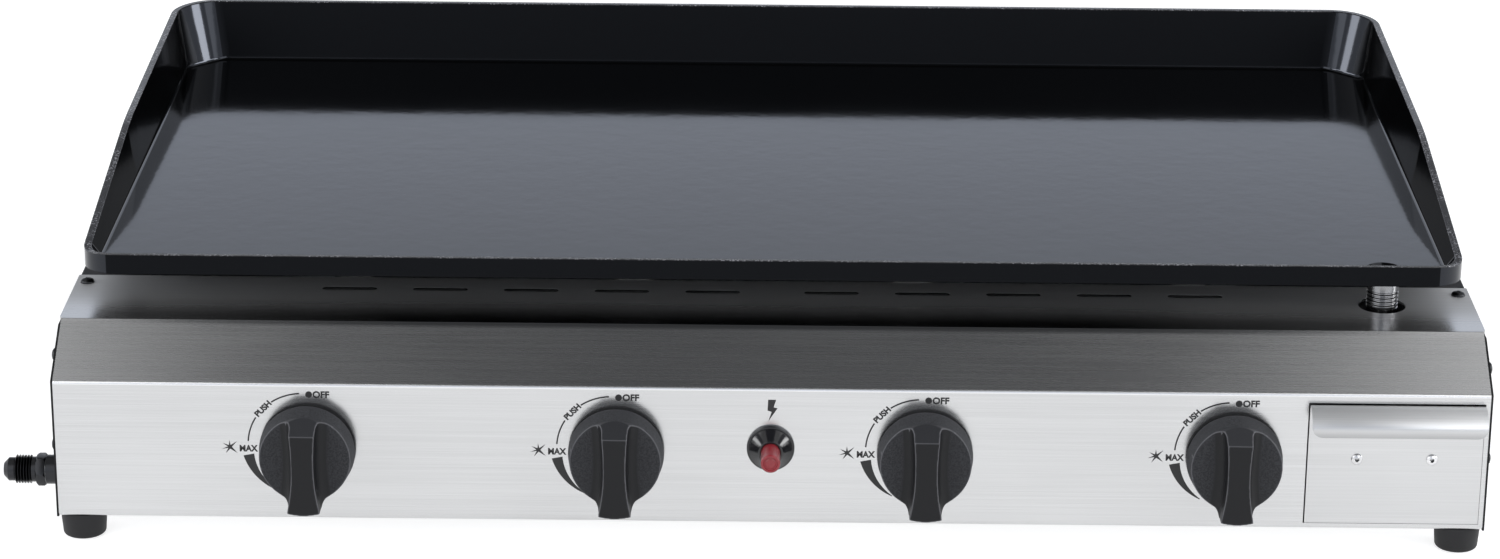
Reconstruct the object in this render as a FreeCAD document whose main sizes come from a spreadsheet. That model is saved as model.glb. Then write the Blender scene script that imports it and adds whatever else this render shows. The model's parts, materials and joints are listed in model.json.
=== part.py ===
import FreeCAD, Part
import math
import os
import types

import Sketcher

# A table-top gas griddle with four burners, in millimetres.
# The pieces are drawn about the middle of the front panel: x to the right, y to the back, z up.
# Each piece is then set so that the origin lies under the middle of the whole griddle, on the table.

NODE_FOLDER = "parts"

SIZES = [
    ("knob_spacing", 172, "burner axis to burner axis, and knob to knob"),
    ("bay_gap", 41, "outer burner axis to the grease drawer's front"),
    ("drawer_width", 96.5, "front plate of the grease drawer"),
    ("drawer_margin", 4.5, "drawer front to the outside of the right side panel"),
    ("drawer_height", 70.5, "front plate of the grease drawer"),
    ("drawer_sill", 4.5, "body's bottom edge to the drawer front"),
    ("drawer_head", 6, "drawer front to the bend of the front panel"),
    ("drawer_gap", 0.8, "slit around the drawer front"),
    ("body_depth", 470, "front panel to the back of the body"),
    ("foot_height", 15, "table to the body's bottom edge"),
    ("slope_run", 38, "depth of the sloping strip above the front panel"),
    ("slope_rise", 23.5, "height of that strip"),
    ("deck_run", 72, "depth of the level deck in front of the plate"),
    ("sheet_gauge", 1.2, "thickness of the sheet steel"),
    ("bend_radius", 1.5, "inside radius of a sheet bend"),
    ("return_flange", 28, "depth of the flanges that carry the base panel"),
    ("side_flange", 40, "width of the side panels' top flanges"),
    ("side_flange_start", 62, "front panel to the front end of those flanges"),
    ("tab_depth", 31, "front panel's side tabs"),
    ("back_tab_depth", 21, "back panel's side tabs"),
    ("back_screw_setback", 11, "back of the body to the back side screws"),
    ("tab_margin", 3, "tab's top edge below the slope"),
    ("tab_rise", 28, "body's bottom edge to the tabs"),
    ("slot_length", 31.4, "deck vent slot"),
    ("slot_width", 4.8, "deck vent slot"),
    ("slot_spacing", 52, "deck vent slots, beyond the middle pair"),
    ("slot_first", 34, "middle of the griddle to the first slot's middle"),
    ("slot_setback", 18.5, "deck's back edge to the row of slots"),
    ("slots_a_side", 5, "deck vent slots each side of the middle"),
    ("screw_shank", 4, "sheet screw, diameter"),
    ("screw_head", 8, "sheet screw, diameter"),
    ("screw_head_height", 2.5, "sheet screw"),
    ("screw_edge", 2, "rounding of a sheet screw's head"),
    ("screw_length", 8, "sheet screw, under the head"),
    ("screw_clearance", 0.2, "screw hole over the shank, on the diameter"),
    ("deck_screw_inset", 6.6, "outside of the body to the deck screws"),
    ("deck_screw_setback", 12, "deck's back edge to the deck screws"),
    ("side_screw_low_y", 10, "front panel to the lower front side screw"),
    ("side_screw_low_rise", 40, "body's bottom edge to that screw"),
    ("side_screw_high_y", 24, "front panel to the upper front side screw"),
    ("side_screw_high_drop", 16.5, "deck to that screw"),
    ("foot_inset", 13, "outside of the body to a foot's axis"),
    ("foot_setback", 14, "front and back of the body to a foot's axis"),
    ("foot_top", 26, "rubber foot, diameter at the body"),
    ("foot_bottom", 24, "rubber foot, diameter at the table"),
    ("foot_recess", 11, "screw recess under a foot, diameter"),
    ("foot_recess_depth", 7, "screw recess under a foot"),
    ("nut_width", 7, "foot nut across its flats"),
    ("nut_height", 3.2, "foot nut"),
    ("base_lip", 14, "height of the base panel's side lips"),
    ("griddle_side_margin", 9, "outside of the body to the plate's rim"),
    ("griddle_front", 60, "front panel to the plate's front wall"),
    ("griddle_overhang", 5, "plate's back wall beyond the body's back"),
    ("griddle_lift", 18.5, "deck to the plate's underside"),
    ("griddle_wall", 4, "thickness of the plate and its rim"),
    ("griddle_front_rim", 8, "front rim over the cooking floor"),
    ("griddle_dip_rim", 6.5, "rim at the front corners, over the floor"),
    ("griddle_dip_setback", 10, "plate's front to that lowest point of the rim"),
    ("griddle_knee_rim", 31, "side rim at its knee, over the floor"),
    ("griddle_knee_setback", 178, "plate's front to the knee of the side rim"),
    ("griddle_knee_run", 16, "rounding of that knee, each way along the rim"),
    ("griddle_back_rim", 38, "back rim over the floor"),
    ("griddle_front_corner", 20, "plate's front corner radius, seen from above"),
    ("griddle_back_corner", 30, "plate's back corner radius, seen from above"),
    ("griddle_bend", 2, "inside radius between the floor and its walls"),
    ("griddle_edge", 1.5, "rounding of the plate's lower outside edge"),
    ("leg_inset", 25, "outside of the body to a plate leg's axis"),
    ("leg_front", 150, "front panel to the front legs' axes"),
    ("leg_setback", 42, "back of the body to the back legs' axes"),
    ("leg_diameter", 13, "plate leg"),
    ("leg_pin", 8, "locating pin of a plate leg, diameter"),
    ("leg_pin_length", 9, "locating pin of a plate leg"),
    ("leg_pin_edge", 2, "rounding of a locating pin's end"),
    ("leg_pin_clearance", 0.6, "locating hole over its pin, on the diameter"),
    ("spout_setback", 20, "plate's front to the drain spout's axis"),
    ("spout_outside", 18, "drain spout, diameter"),
    ("spout_bore", 14, "drain hole and spout, diameter"),
    ("spout_drop", 20, "deck to the spout's mouth"),
    ("spout_hole", 27, "hole in the deck for the spout, diameter"),
    ("tray_wall", 1, "sheet of the grease tray"),
    ("tray_depth", 190, "grease tray, front to back"),
    ("tray_inset", 5, "drawer front's edge to the tray's side"),
    ("tray_rise", 6, "drawer front's bottom edge to the tray's underside"),
    ("tray_height", 52, "grease tray"),
    ("tray_corner", 6, "grease tray's upright corners"),
    ("tray_lip", 4.5, "runner lips along the tray's top edges"),
    ("rail_gap", 0.3, "running gap between tray and rails"),
    ("rail_foot", 12, "width of a rail's foot"),
    ("rail_start", 34, "front panel to the rails' front ends"),
    ("handle_reach", 15, "drawer handle, out from the front"),
    ("handle_drop", 14, "drawer handle, from its top to its lower edge"),
    ("handle_radius", 12, "drawer handle's front bend, outside"),
    ("handle_corner", 6, "drawer handle's lower corners"),
    ("rivet_spacing", 41.7, "drawer rivets"),
    ("rivet_drop", 32.5, "drawer front's top edge to the rivets"),
    ("rivet_head", 6.6, "drawer rivet, diameter of its head"),
    ("rivet_head_height", 1.4, "drawer rivet"),
    ("rivet_edge", 1, "rounding of a rivet's head"),
    ("rivet_shank", 3.2, "drawer rivet, diameter"),
    ("rivet_tail", 4.5, "drawer rivet, diameter of its closed end"),
    ("knob_rise", 42.6, "body's bottom edge to the knob and burner axes"),
    ("knob_gap", 3.4, "front panel to a knob's skirt"),
    ("knob_back", 53.6, "knob, diameter at the panel"),
    ("knob_front", 50.4, "knob, diameter at the front of its skirt"),
    ("knob_skirt", 14.2, "knob, depth of its skirt"),
    ("knob_wall", 3, "thickness of the knob's skirt"),
    ("knob_hub", 15, "knob, hub around the stem, diameter"),
    ("knob_scoop", 18, "finger scoop beside the grip, radius"),
    ("knob_scoop_depth", 2.2, "finger scoop beside the grip"),
    ("grip_reach", 12.5, "grip bar in front of the skirt"),
    ("grip_waist", 12.4, "grip bar's width at the knob's axis"),
    ("grip_top", 14, "grip bar's width at its upper end"),
    ("grip_tail", 17, "grip bar's width at its lower end"),
    ("grip_shoulder", 18.8, "knob's axis to the top of the grip's face"),
    ("grip_foot", 27, "knob's axis to the lower end of the grip"),
    ("grip_edge", 0.9, "rounding of the grip's edges"),
    ("stem_diameter", 8, "valve stem"),
    ("stem_tail", 6, "valve stem's tongue in the plug, diameter"),
    ("stem_depth", 12, "front panel to the shoulder of the stem"),
    ("stem_tail_length", 14, "valve stem's tongue"),
    ("stem_reach", 15, "valve stem inside the knob"),
    ("stem_clearance", 0.6, "bores over the stem, on the diameter"),
    ("stem_hole", 13, "hole in the front panel for a stem, diameter"),
    ("plug_diameter", 12, "valve plug"),
    ("plug_length", 24, "valve plug"),
    ("plug_play", 4, "stem shoulder to the plug, for the push"),
    ("valve_neck", 15, "valve body's neck, diameter"),
    ("valve_neck_gap", 3, "back of the front panel to the valve's neck"),
    ("valve_bonnet", 30, "valve bonnet, diameter"),
    ("valve_bonnet_depth", 4, "valve bonnet"),
    ("valve_body", 22, "valve body, diameter"),
    ("valve_nozzle", 11, "valve outlet, diameter"),
    ("valve_nozzle_length", 8, "valve outlet"),
    ("jet_diameter", 7, "gas jet"),
    ("jet_length", 8, "gas jet"),
    ("jet_bore", 1.2, "gas jet's orifice, diameter"),
    ("gas_way", 4.8, "gas way through a valve, diameter"),
    ("manifold_diameter", 16, "gas manifold pipe"),
    ("manifold_wall", 1.5, "gas manifold pipe"),
    ("manifold_setback", 38, "front panel to the manifold's axis"),
    ("manifold_rise", 12.8, "body's bottom edge to the manifold's axis"),
    ("manifold_overrun", 14, "last valve to the pipe's closed end"),
    ("boss_diameter", 15, "valve boss on the manifold"),
    ("boss_rise", 11, "manifold's axis to the top of a boss"),
    ("cap_length", 5, "manifold's end cap"),
    ("cap_rim", 1.5, "manifold's end cap beyond the pipe, radius"),
    ("bracket_width", 30, "manifold bracket, front to back"),
    ("bracket_gauge", 2, "manifold bracket"),
    ("bracket_foot", 14, "manifold bracket's foot"),
    ("bracket_crown", 5, "manifold bracket above the pipe"),
    ("inlet_neck", 11.6, "left side panel to the inlet's hexagon"),
    ("inlet_hex", 16.5, "inlet hexagon across its flats"),
    ("inlet_hex_length", 6.4, "inlet hexagon"),
    ("inlet_thread", 15.88, "inlet thread, outside diameter"),
    ("inlet_thread_length", 12, "inlet thread"),
    ("inlet_nose", 5.3, "inlet's flare cone"),
    ("inlet_bore", 8, "gas way through the inlet, diameter"),
    ("inlet_spigot", 8, "inlet's spigot inside the pipe"),
    ("inlet_hole_clearance", 1.2, "side panel's hole over the pipe, on the diameter"),
    ("burner_tube", 25.4, "burner tube, diameter"),
    ("burner_wall", 1, "burner tube"),
    ("burner_throat", 20, "burner's mixing throat, diameter"),
    ("burner_overlap", 5, "gas jet inside the burner's mouth"),
    ("throat_length", 22, "burner's mixing throat"),
    ("cone_length", 16, "burner, from throat to tube"),
    ("burner_setback", 40, "back of the body to the burner's closed end"),
    ("burner_pin", 6, "burner's rear pin, diameter"),
    ("burner_pin_length", 14, "burner's rear pin"),
    ("port_width", 1.6, "flame port, along the burner"),
    ("port_height", 5, "flame port"),
    ("port_rise", 2, "burner's axis to the bottom of the flame ports"),
    ("ports_a_side", 24, "flame ports along each side of a burner"),
    ("port_start", 26, "baffle to the first flame port"),
    ("port_finish", 18, "last flame port to the burner's closed end"),
    ("shutter_gauge", 0.8, "air shutter"),
    ("shutter_clearance", 0.3, "air shutter's bore over the throat, on the diameter"),
    ("shutter_length", 14, "air shutter"),
    ("shutter_start", 4, "burner's mouth to the air shutter"),
    ("window_length", 8, "air window"),
    ("window_height", 9, "air window"),
    ("baffle_hole_clearance", 0.6, "baffle's hole over the burner, on the diameter"),
    ("baffle_flange", 8, "heat baffle's top flange"),
    ("baffle_notch_margin", 8, "drawer rails to the edges of the baffle's notch"),
    ("rear_rail_rise", 14, "burner's axis to the top of the rear rail"),
    ("rear_rail_foot", 18, "rear rail's foot"),
    ("ceramic_diameter", 7, "spark electrode's ceramic"),
    ("ceramic_collar", 11, "ceramic's collar, diameter"),
    ("ceramic_collar_length", 3, "ceramic's collar"),
    ("ceramic_front", 14, "ceramic in front of the baffle"),
    ("ceramic_back", 20, "ceramic behind the baffle"),
    ("electrode_rod", 2.4, "spark electrode, diameter"),
    ("electrode_tip", 16, "spark electrode beyond its ceramic"),
    ("electrode_side", 18, "burner's axis to the electrode, sideways"),
    ("electrode_rise", 6, "burner's axis to the electrode, upwards"),
    ("igniter_rise", 46, "body's bottom edge to the igniter's axis"),
    ("igniter_barrel", 15.6, "igniter's barrel through the panel, diameter"),
    ("igniter_barrel_clearance", 0.4, "holes over that barrel, on the diameter"),
    ("igniter_body", 22, "igniter behind the panel, diameter"),
    ("igniter_body_length", 45, "igniter behind the panel"),
    ("igniter_terminal", 6, "igniter's rear terminal, diameter"),
    ("igniter_terminal_length", 8, "igniter's rear terminal"),
    ("igniter_nut", 26, "igniter's front nut, diameter"),
    ("igniter_nut_rim", 2.2, "igniter's front nut, cylindrical rim"),
    ("igniter_nut_cone", 6.3, "igniter's front nut, cone"),
    ("igniter_collar", 13.4, "igniter's front nut, diameter of its nose"),
    ("igniter_grip", 5.5, "igniter's barrel in front of the panel"),
    ("button_diameter", 10.8, "igniter button"),
    ("button_reach", 25, "front panel to the button's face"),
    ("button_tail", 12, "button behind the panel's front"),
    ("button_travel", 8, "igniter button"),
    ("button_clearance", 0.6, "igniter's bore over the button, on the diameter"),
    ("button_edge", 1.2, "rounding of the button's face"),
    ("back_vent_length", 46, "back panel vent"),
    ("back_vent_height", 6, "back panel vent"),
    ("back_vent_spacing", 64, "back panel vents"),
    ("back_vent_row", 18, "back panel's lower row of vents to the upper one"),
    ("back_vents_a_side", 5, "back panel vents each side of the middle, in a row"),
    ("back_vent_rise", 44, "body's bottom edge to the lower row of vents"),
    ("air_slot_length", 60, "base panel's air slot"),
    ("air_slot_width", 9, "base panel's air slot"),
    ("air_slot_front", 190, "front panel to the front air slots"),
    ("air_slot_gap", 140, "front air slots to the back ones"),
]

doc = FreeCAD.newDocument("table_top_gas_griddle")
sheet = doc.addObject("Spreadsheet::Sheet", "Sizes")
nodes = []
cuts = []


class Size:
    """A length with its number and the formula that ties it to the size sheet."""

    def __init__(self, number, formula):
        self.number = float(number)
        self.formula = formula

    def __add__(self, other):
        other = size(other)
        return Size(self.number + other.number, f"({self.formula} + {other.formula})")

    def __sub__(self, other):
        other = size(other)
        return Size(self.number - other.number, f"({self.formula} - {other.formula})")

    def __mul__(self, other):
        other = size(other)
        return Size(self.number * other.number, f"({self.formula} * {other.formula})")

    def __truediv__(self, other):
        other = size(other)
        return Size(self.number / other.number, f"({self.formula} / {other.formula})")

    def __neg__(self):
        return size(0) - self

    def __radd__(self, other):
        return size(other) + self

    def __rsub__(self, other):
        return size(other) - self

    def __rmul__(self, other):
        return size(other) * self

    def root(self):
        return Size(math.sqrt(self.number), f"sqrt({self.formula})")


def size(item):
    """Plain numbers join in the formulas as they are."""
    if isinstance(item, Size):
        return item
    return Size(item, f"({float(item):.6f})")


def fill_sheet():
    sizes = {}
    for row, (alias, number, meaning) in enumerate(SIZES, start=1):
        sheet.set(f"A{row}", meaning)
        sheet.set(f"B{row}", str(number))
        sheet.setAlias(f"B{row}", alias)
        sizes[alias] = Size(number, f"Sizes.{alias}")
    doc.recompute()
    return types.SimpleNamespace(**sizes)


s = fill_sheet()

# Lines and levels that several pieces share
half_width = 1.5 * s.knob_spacing + s.bay_gap + s.drawer_width + s.drawer_margin
inner_half = half_width - s.sheet_gauge
front_height = s.drawer_sill + s.drawer_height + s.drawer_head
bottom_z = s.foot_height
bend_z = bottom_z + front_height
deck_z = bend_z + s.slope_rise
deck_back = s.slope_run + s.deck_run
flange_z = deck_z - s.sheet_gauge
base_z = bottom_z + s.sheet_gauge
base_top = base_z + s.sheet_gauge
back_inner = s.body_depth - s.sheet_gauge
axis_z = bottom_z + s.knob_rise
igniter_z = bottom_z + s.igniter_rise
manifold_z = bottom_z + s.manifold_rise
stations = [factor * s.knob_spacing for factor in (-1.5, -0.5, 0.5, 1.5)]

drawer_right = half_width - s.drawer_margin
drawer_left = drawer_right - s.drawer_width
drawer_x = (drawer_left + drawer_right) / 2
drawer_low = bottom_z + s.drawer_sill
drawer_top = drawer_low + s.drawer_height
tray_left = drawer_left + s.tray_inset
tray_right = drawer_right - s.tray_inset
tray_low = drawer_low + s.tray_rise
tray_top = tray_low + s.tray_height
lip_low = tray_top - s.tray_wall
rail_z = lip_low - s.rail_gap
rail_left = tray_left - s.tray_lip - s.rail_gap
rail_right = tray_right + s.tray_lip + s.rail_gap

griddle_half = half_width - s.griddle_side_margin
griddle_back = s.body_depth + s.griddle_overhang
griddle_low = deck_z + s.griddle_lift
floor_z = griddle_low + s.griddle_wall
spout_y = s.griddle_front + s.spout_setback

baffle_front = deck_back - s.sheet_gauge
valve_start = s.sheet_gauge + s.valve_neck_gap
plug_start = s.stem_depth + s.plug_play
plug_end = plug_start + s.plug_length
valve_end = plug_end + s.valve_neck_gap
nozzle_end = valve_end + s.valve_nozzle_length
jet_end = nozzle_end + s.jet_length
burner_mouth = jet_end - s.burner_overlap
throat_end = burner_mouth + s.throat_length
cone_end = throat_end + s.cone_length
burner_end = s.body_depth - s.burner_setback
rear_rail_y = burner_end + s.burner_pin_length / 2
pipe_start = -(half_width + s.inlet_neck)
pipe_end = stations[-1] + s.manifold_overrun
inlet_tip = pipe_start - s.inlet_hex_length - s.inlet_thread_length - s.inlet_nose

# The origin lies under the middle of the whole griddle
left_reach = inlet_tip
right_reach = half_width + s.screw_head_height
front_reach = -(s.knob_gap + s.knob_skirt + s.grip_reach)
back_reach = griddle_back
shift_x = -(left_reach + right_reach) / 2
shift_y = -(front_reach + back_reach) / 2

PLANE_NORMAL = {"XY": 1, "XZ": -1, "YZ": 1}
UPRIGHT = FreeCAD.Vector(0, 0, 1)
NEAR = 1e-4


def new_body(label):
    return doc.addObject("PartDesign::Body", label)


def new_group(label):
    """A body that holds several separate solids, such as a set of screws."""
    body = new_body(label)
    body.AllowCompound = True
    return body


def place(piece, x=0, y=0, z=0):
    """Set a finished piece where it belongs and count it among the nodes."""
    for letter, spot in zip("xyz", (x + shift_x, y + shift_y, size(z))):
        piece.setExpression(f"Placement.Base.{letter}", spot.formula)
    nodes.append(piece)


def repeat(master):
    """The same piece again at each station; the master itself is no node."""
    for number, station in enumerate(stations, start=1):
        piece = new_body(f"{master.Label}_{number}")
        piece.BaseFeature = master
        place(piece, x=station, z=axis_z)


class Drawing:
    """A sketch in the making: its curves, and the dimensions that tie them to the sheet."""

    def __init__(self, sketch):
        self.sketch = sketch
        self.constraints = []
        self.formulas = []

    def add(self, curve, construction=False):
        return self.sketch.addGeometry(curve, construction)

    def join(self, *ends):
        self.constraints.append(Sketcher.Constraint("Coincident", *ends))
        self.formulas.append(None)

    def set_on(self, *point_and_curve):
        self.constraints.append(Sketcher.Constraint("PointOnObject", *point_and_curve))
        self.formulas.append(None)

    def bind(self, kind, numbers, amount):
        amount = size(amount)
        self.constraints.append(Sketcher.Constraint(kind, *numbers, amount.number))
        self.formulas.append(amount.formula)

    def pin_down(self, curve, end, u, v):
        self.bind("DistanceX", (curve, end), u)
        self.bind("DistanceY", (curve, end), v)

    def finish(self):
        self.sketch.addConstraint(self.constraints)
        for index, formula in enumerate(self.formulas):
            if formula:
                self.sketch.setExpression(f"Constraints[{index}]", formula)


def point(u, v):
    return FreeCAD.Vector(size(u).number, size(v).number, 0)


def polygon(*corners, bows=None):
    """A closed outline; a side listed by the number of its first corner bows through a point."""
    bows = bows or {}

    def draw(drawing):
        sides = []
        for index, (start, finish) in enumerate(zip(corners, corners[1:] + corners[:1])):
            ends = (1, 2)
            if index in bows:
                bow = Part.Arc(point(*start), point(*bows[index]), point(*finish))
                curve = drawing.add(bow)
                if not drawing.sketch.getPoint(curve, 1).isEqual(point(*start), NEAR):
                    ends = (2, 1)
            else:
                curve = drawing.add(Part.LineSegment(point(*start), point(*finish)))
            sides.append((curve, *ends))
        for side, following, corner in zip(sides, sides[1:] + sides[:1], corners):
            drawing.join(side[0], side[2], following[0], following[1])
            drawing.pin_down(side[0], side[1], *corner)
        for index, passing in bows.items():
            mark = drawing.add(Part.Point(point(*passing)), True)
            drawing.pin_down(mark, 1, *passing)
            drawing.set_on(mark, 1, sides[index][0])

    return draw


def rectangle(left, low, right, high):
    return polygon((left, low), (right, low), (right, high), (left, high))


def circle(u, v, diameter):
    def draw(drawing):
        radius = size(diameter) / 2
        curve = drawing.add(Part.Circle(point(u, v), UPRIGHT, radius.number))
        drawing.pin_down(curve, 3, u, v)
        drawing.bind("Radius", (curve,), radius)

    return draw


def slot(u, v, length, width):
    """A round-ended slot that lies along the sketch's first axis."""

    def draw(drawing):
        radius = size(width) / 2
        reach = size(length) / 2 - radius
        right, left = u + reach, u - reach
        quarter = math.pi / 2
        ends = []
        for middle, start in ((right, -quarter), (left, quarter)):
            round_end = Part.Circle(point(middle, v), UPRIGHT, radius.number)
            curve = drawing.add(Part.ArcOfCircle(round_end, start, start + math.pi))
            drawing.pin_down(curve, 3, middle, v)
            drawing.bind("Radius", (curve,), radius)
            drawing.bind("DistanceX", (curve, 1), middle)
            drawing.bind("DistanceX", (curve, 2), middle)
            ends.append(curve)
        top = Part.LineSegment(point(right, v + radius), point(left, v + radius))
        low = Part.LineSegment(point(left, v - radius), point(right, v - radius))
        for line, start, finish in ((top, *ends), (low, *reversed(ends))):
            edge = drawing.add(line)
            drawing.join(edge, 1, start, 2)
            drawing.join(edge, 2, finish, 1)

    return draw


def rounded_rectangle(left, low, right, high, low_corner, high_corner):
    """A rectangle with one radius at its two lower corners and one at the two upper ones."""

    def draw(drawing):
        quarter = math.pi / 2
        corners = [
            (left + low_corner, low + low_corner, low_corner),
            (right - low_corner, low + low_corner, low_corner),
            (right - high_corner, high - high_corner, high_corner),
            (left + high_corner, high - high_corner, high_corner),
        ]
        arcs = []
        for index, (u, v, radius) in enumerate(corners):
            whole = Part.Circle(point(u, v), UPRIGHT, radius.number)
            start = (index + 2) * quarter
            arc = drawing.add(Part.ArcOfCircle(whole, start, start + quarter))
            drawing.pin_down(arc, 3, u, v)
            drawing.bind("Radius", (arc,), radius)
            side_end, level_end = (1, 2) if index % 2 == 0 else (2, 1)
            drawing.bind("DistanceY", (arc, side_end), v)
            drawing.bind("DistanceX", (arc, level_end), u)
            arcs.append(arc)
        for arc, following in zip(arcs, arcs[1:] + arcs[:1]):
            start, finish = drawing.sketch.getPoint(arc, 2), drawing.sketch.getPoint(following, 1)
            line = drawing.add(Part.LineSegment(start, finish))
            drawing.join(line, 1, arc, 2)
            drawing.join(line, 2, following, 1)

    return draw


def hexagon(u, v, flats):
    """A hexagon with two corners on the sketch's second axis."""
    half = size(flats) / 2
    reach = size(flats) / size(3).root()
    corners = [(u, v + reach), (u - half, v + reach / 2), (u - half, v - reach / 2)]
    corners += [(u, v - reach), (u + half, v - reach / 2), (u + half, v + reach / 2)]
    return polygon(*corners)


def sketch_on(body, plane, level, shapes):
    """A sketch on one of the body's planes, moved to a level along the axis across that plane."""
    sketch = body.newObject("Sketcher::SketchObject", f"{body.Name}_sketch")
    role = f"{plane}_Plane"
    support = next(part for part in body.Origin.OriginFeatures if part.Role == role)
    sketch.AttachmentSupport = [(support, "")]
    sketch.MapMode = "FlatFace"
    offset = size(level) * PLANE_NORMAL[plane]
    sketch.setExpression("AttachmentOffset.Base.z", offset.formula)
    drawing = Drawing(sketch)
    for draw in shapes:
        draw(drawing)
    drawing.finish()
    return sketch


def pad(body, plane, level, toward, length, *shapes):
    """Material from a level, toward the higher (1) or the lower (-1) side of the axis."""
    feature = body.newObject("PartDesign::Pad", f"{body.Name}_pad")
    feature.Profile = sketch_on(body, plane, level, shapes)
    feature.Reversed = toward != PLANE_NORMAL[plane]
    feature.setExpression("Length", size(length).formula)
    return feature


def pocket(body, plane, level, toward, length, *shapes):
    """A cut from a level, toward the higher (1) or the lower (-1) side of the axis."""
    feature = body.newObject("PartDesign::Pocket", f"{body.Name}_pocket")
    feature.Profile = sketch_on(body, plane, level, shapes)
    feature.Reversed = toward == PLANE_NORMAL[plane]
    feature.setExpression("Length", size(length).formula)
    cuts.append(feature)
    return feature


def turn(body, plane, axis, *corners):
    """A turned piece: an outline spun about the sketch's own H or V axis."""
    feature = body.newObject("PartDesign::Revolution", f"{body.Name}_turned")
    sketch = sketch_on(body, plane, 0, [polygon(*corners)])
    feature.Profile = sketch
    feature.ReferenceAxis = (sketch, [f"{axis}_Axis"])
    feature.Angle = 360
    return feature


def round_edges(body, radius, chosen):
    """Round the edges of the body so far that the chooser picks."""
    doc.recompute()
    last = body.Tip
    edges = [f"Edge{i}" for i, edge in enumerate(last.Shape.Edges, 1) if chosen(edge)]
    if not edges:
        raise RuntimeError(f"{body.Label}: no edge to round")
    feature = body.newObject("PartDesign::Fillet", f"{body.Name}_round")
    feature.Base = (last, edges)
    feature.setExpression("Radius", size(radius).formula)
    return feature


def hollow_out(body, top_z, wall):
    """Turn a solid block into an open pan: its top face goes and a wall stays."""
    doc.recompute()
    last = body.Tip
    faces = enumerate(last.Shape.Faces, 1)
    level = top_z.number
    top = next(f"Face{i}" for i, face in faces if abs(face.CenterOfMass.z - level) < NEAR)
    feature = body.newObject("PartDesign::Thickness", f"{body.Name}_hollow")
    feature.Base = (last, [top])
    feature.Reversed = True
    feature.Join = "Arc"
    feature.setExpression("Value", wall.formula)
    return feature


def runs_along(letter, **places):
    """Chooses straight edges along an axis, through the given places on the other axes."""
    index = "xyz".index(letter)

    def chosen(edge):
        ends = [vertex.Point for vertex in edge.Vertexes]
        if len(ends) != 2 or not isinstance(edge.Curve, Part.Line):
            return False
        if any(abs(ends[0][i] - ends[1][i]) > NEAR for i in range(3) if i != index):
            return False
        middle = edge.BoundBox.Center
        wanted = places.items()
        return all(abs(getattr(middle, key) - size(value).number) < NEAR for key, value in wanted)

    return chosen


def lies_at(**places):
    """Chooses edges that lie wholly at the given places, such as a rim at one level."""

    def chosen(edge):
        box = edge.BoundBox
        for key, value in places.items():
            low, high = getattr(box, f"{key.upper()}Min"), getattr(box, f"{key.upper()}Max")
            if abs(low - size(value).number) > NEAR or abs(high - size(value).number) > NEAR:
                return False
        return True

    return chosen


def either(*choosers):
    return lambda edge: any(chosen(edge) for chosen in choosers)


def front_fascia():
    """Stainless front: bottom flange, front face, slope and deck folded from one sheet."""
    body = new_body("front_fascia")
    gauge, bend = s.sheet_gauge, s.bend_radius
    slope = (s.slope_run * s.slope_run + s.slope_rise * s.slope_rise).root()
    inner_bend_z = bend_z - gauge * (slope - s.slope_rise) / s.slope_run
    inner_deck_y = s.slope_run + gauge * (slope - s.slope_run) / s.slope_rise
    outside = [(s.return_flange, bottom_z), (0, bottom_z), (0, bend_z)]
    outside += [(s.slope_run, deck_z), (deck_back, deck_z)]
    inside = [(deck_back, flange_z), (inner_deck_y, flange_z), (gauge, inner_bend_z)]
    inside += [(gauge, base_z), (s.return_flange, base_z)]
    pad(body, "YZ", -inner_half, 1, 2 * inner_half, polygon(*outside, *inside))
    outer = [(0, bottom_z), (0, bend_z), (s.slope_run, deck_z)]
    inner = [(gauge, base_z), (gauge, inner_bend_z), (inner_deck_y, flange_z)]
    for corners, radius in ((outer, bend + gauge), (inner, bend)):
        round_edges(body, radius, either(*[runs_along("x", y=y, z=z) for y, z in corners]))
    for side in (-1, 1):
        ear = rectangle(s.slope_run + 2 * gauge, flange_z, deck_back, deck_z)
        pad(body, "YZ", side * inner_half, side, gauge, ear)
        slope_z = bend_z + s.tab_depth * s.slope_rise / s.slope_run
        tab = polygon(
            (gauge, bottom_z + s.tab_rise),
            (s.tab_depth, bottom_z + s.tab_rise),
            (s.tab_depth, slope_z - s.tab_margin),
            (gauge, bend_z - s.tab_margin),
        )
        pad(body, "YZ", side * inner_half, -side, gauge, tab)
        holes = [circle(y, z, s.screw_shank + s.screw_clearance) for y, z in front_side_screws()]
        pocket(body, "YZ", side * inner_half, -side, 2 * gauge, *holes)
    gap = s.drawer_gap
    opening = rectangle(drawer_left - gap, drawer_low - gap, drawer_right + gap, drawer_top + gap)
    holes = [circle(x, axis_z, s.stem_hole) for x in stations]
    holes.append(circle(0, igniter_z, s.igniter_barrel + s.igniter_barrel_clearance))
    pocket(body, "XZ", 0, 1, gauge + bend, opening, *holes)
    for side in (-1, 1):
        places = [side * (s.slot_first + i * s.slot_spacing) for i in range(int(s.slots_a_side.number))]
        slot_y = deck_back - s.slot_setback
        slots = [slot(x, slot_y, s.slot_length, s.slot_width) for x in places]
        pocket(body, "XY", deck_z, -1, gauge, *slots)
    screws = [circle(x, y, s.screw_shank + s.screw_clearance) for x, y in deck_screws()]
    spout = circle(drawer_x, spout_y, s.spout_hole)
    pocket(body, "XY", deck_z, -1, gauge, *screws, spout)
    feet = [circle(x, y, s.screw_shank + s.screw_clearance) for x, y in feet_spots()[:2]]
    pocket(body, "XY", base_z, -1, gauge, *feet)
    place(body)


def front_side_screws():
    low = (s.side_screw_low_y, bottom_z + s.side_screw_low_rise)
    high = (s.side_screw_high_y, deck_z - s.side_screw_high_drop)
    return [low, high]


def back_side_screws():
    y = s.body_depth - s.back_screw_setback
    return [(y, bottom_z + s.side_screw_low_rise), (y, deck_z - s.side_screw_high_drop - s.base_lip)]


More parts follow.
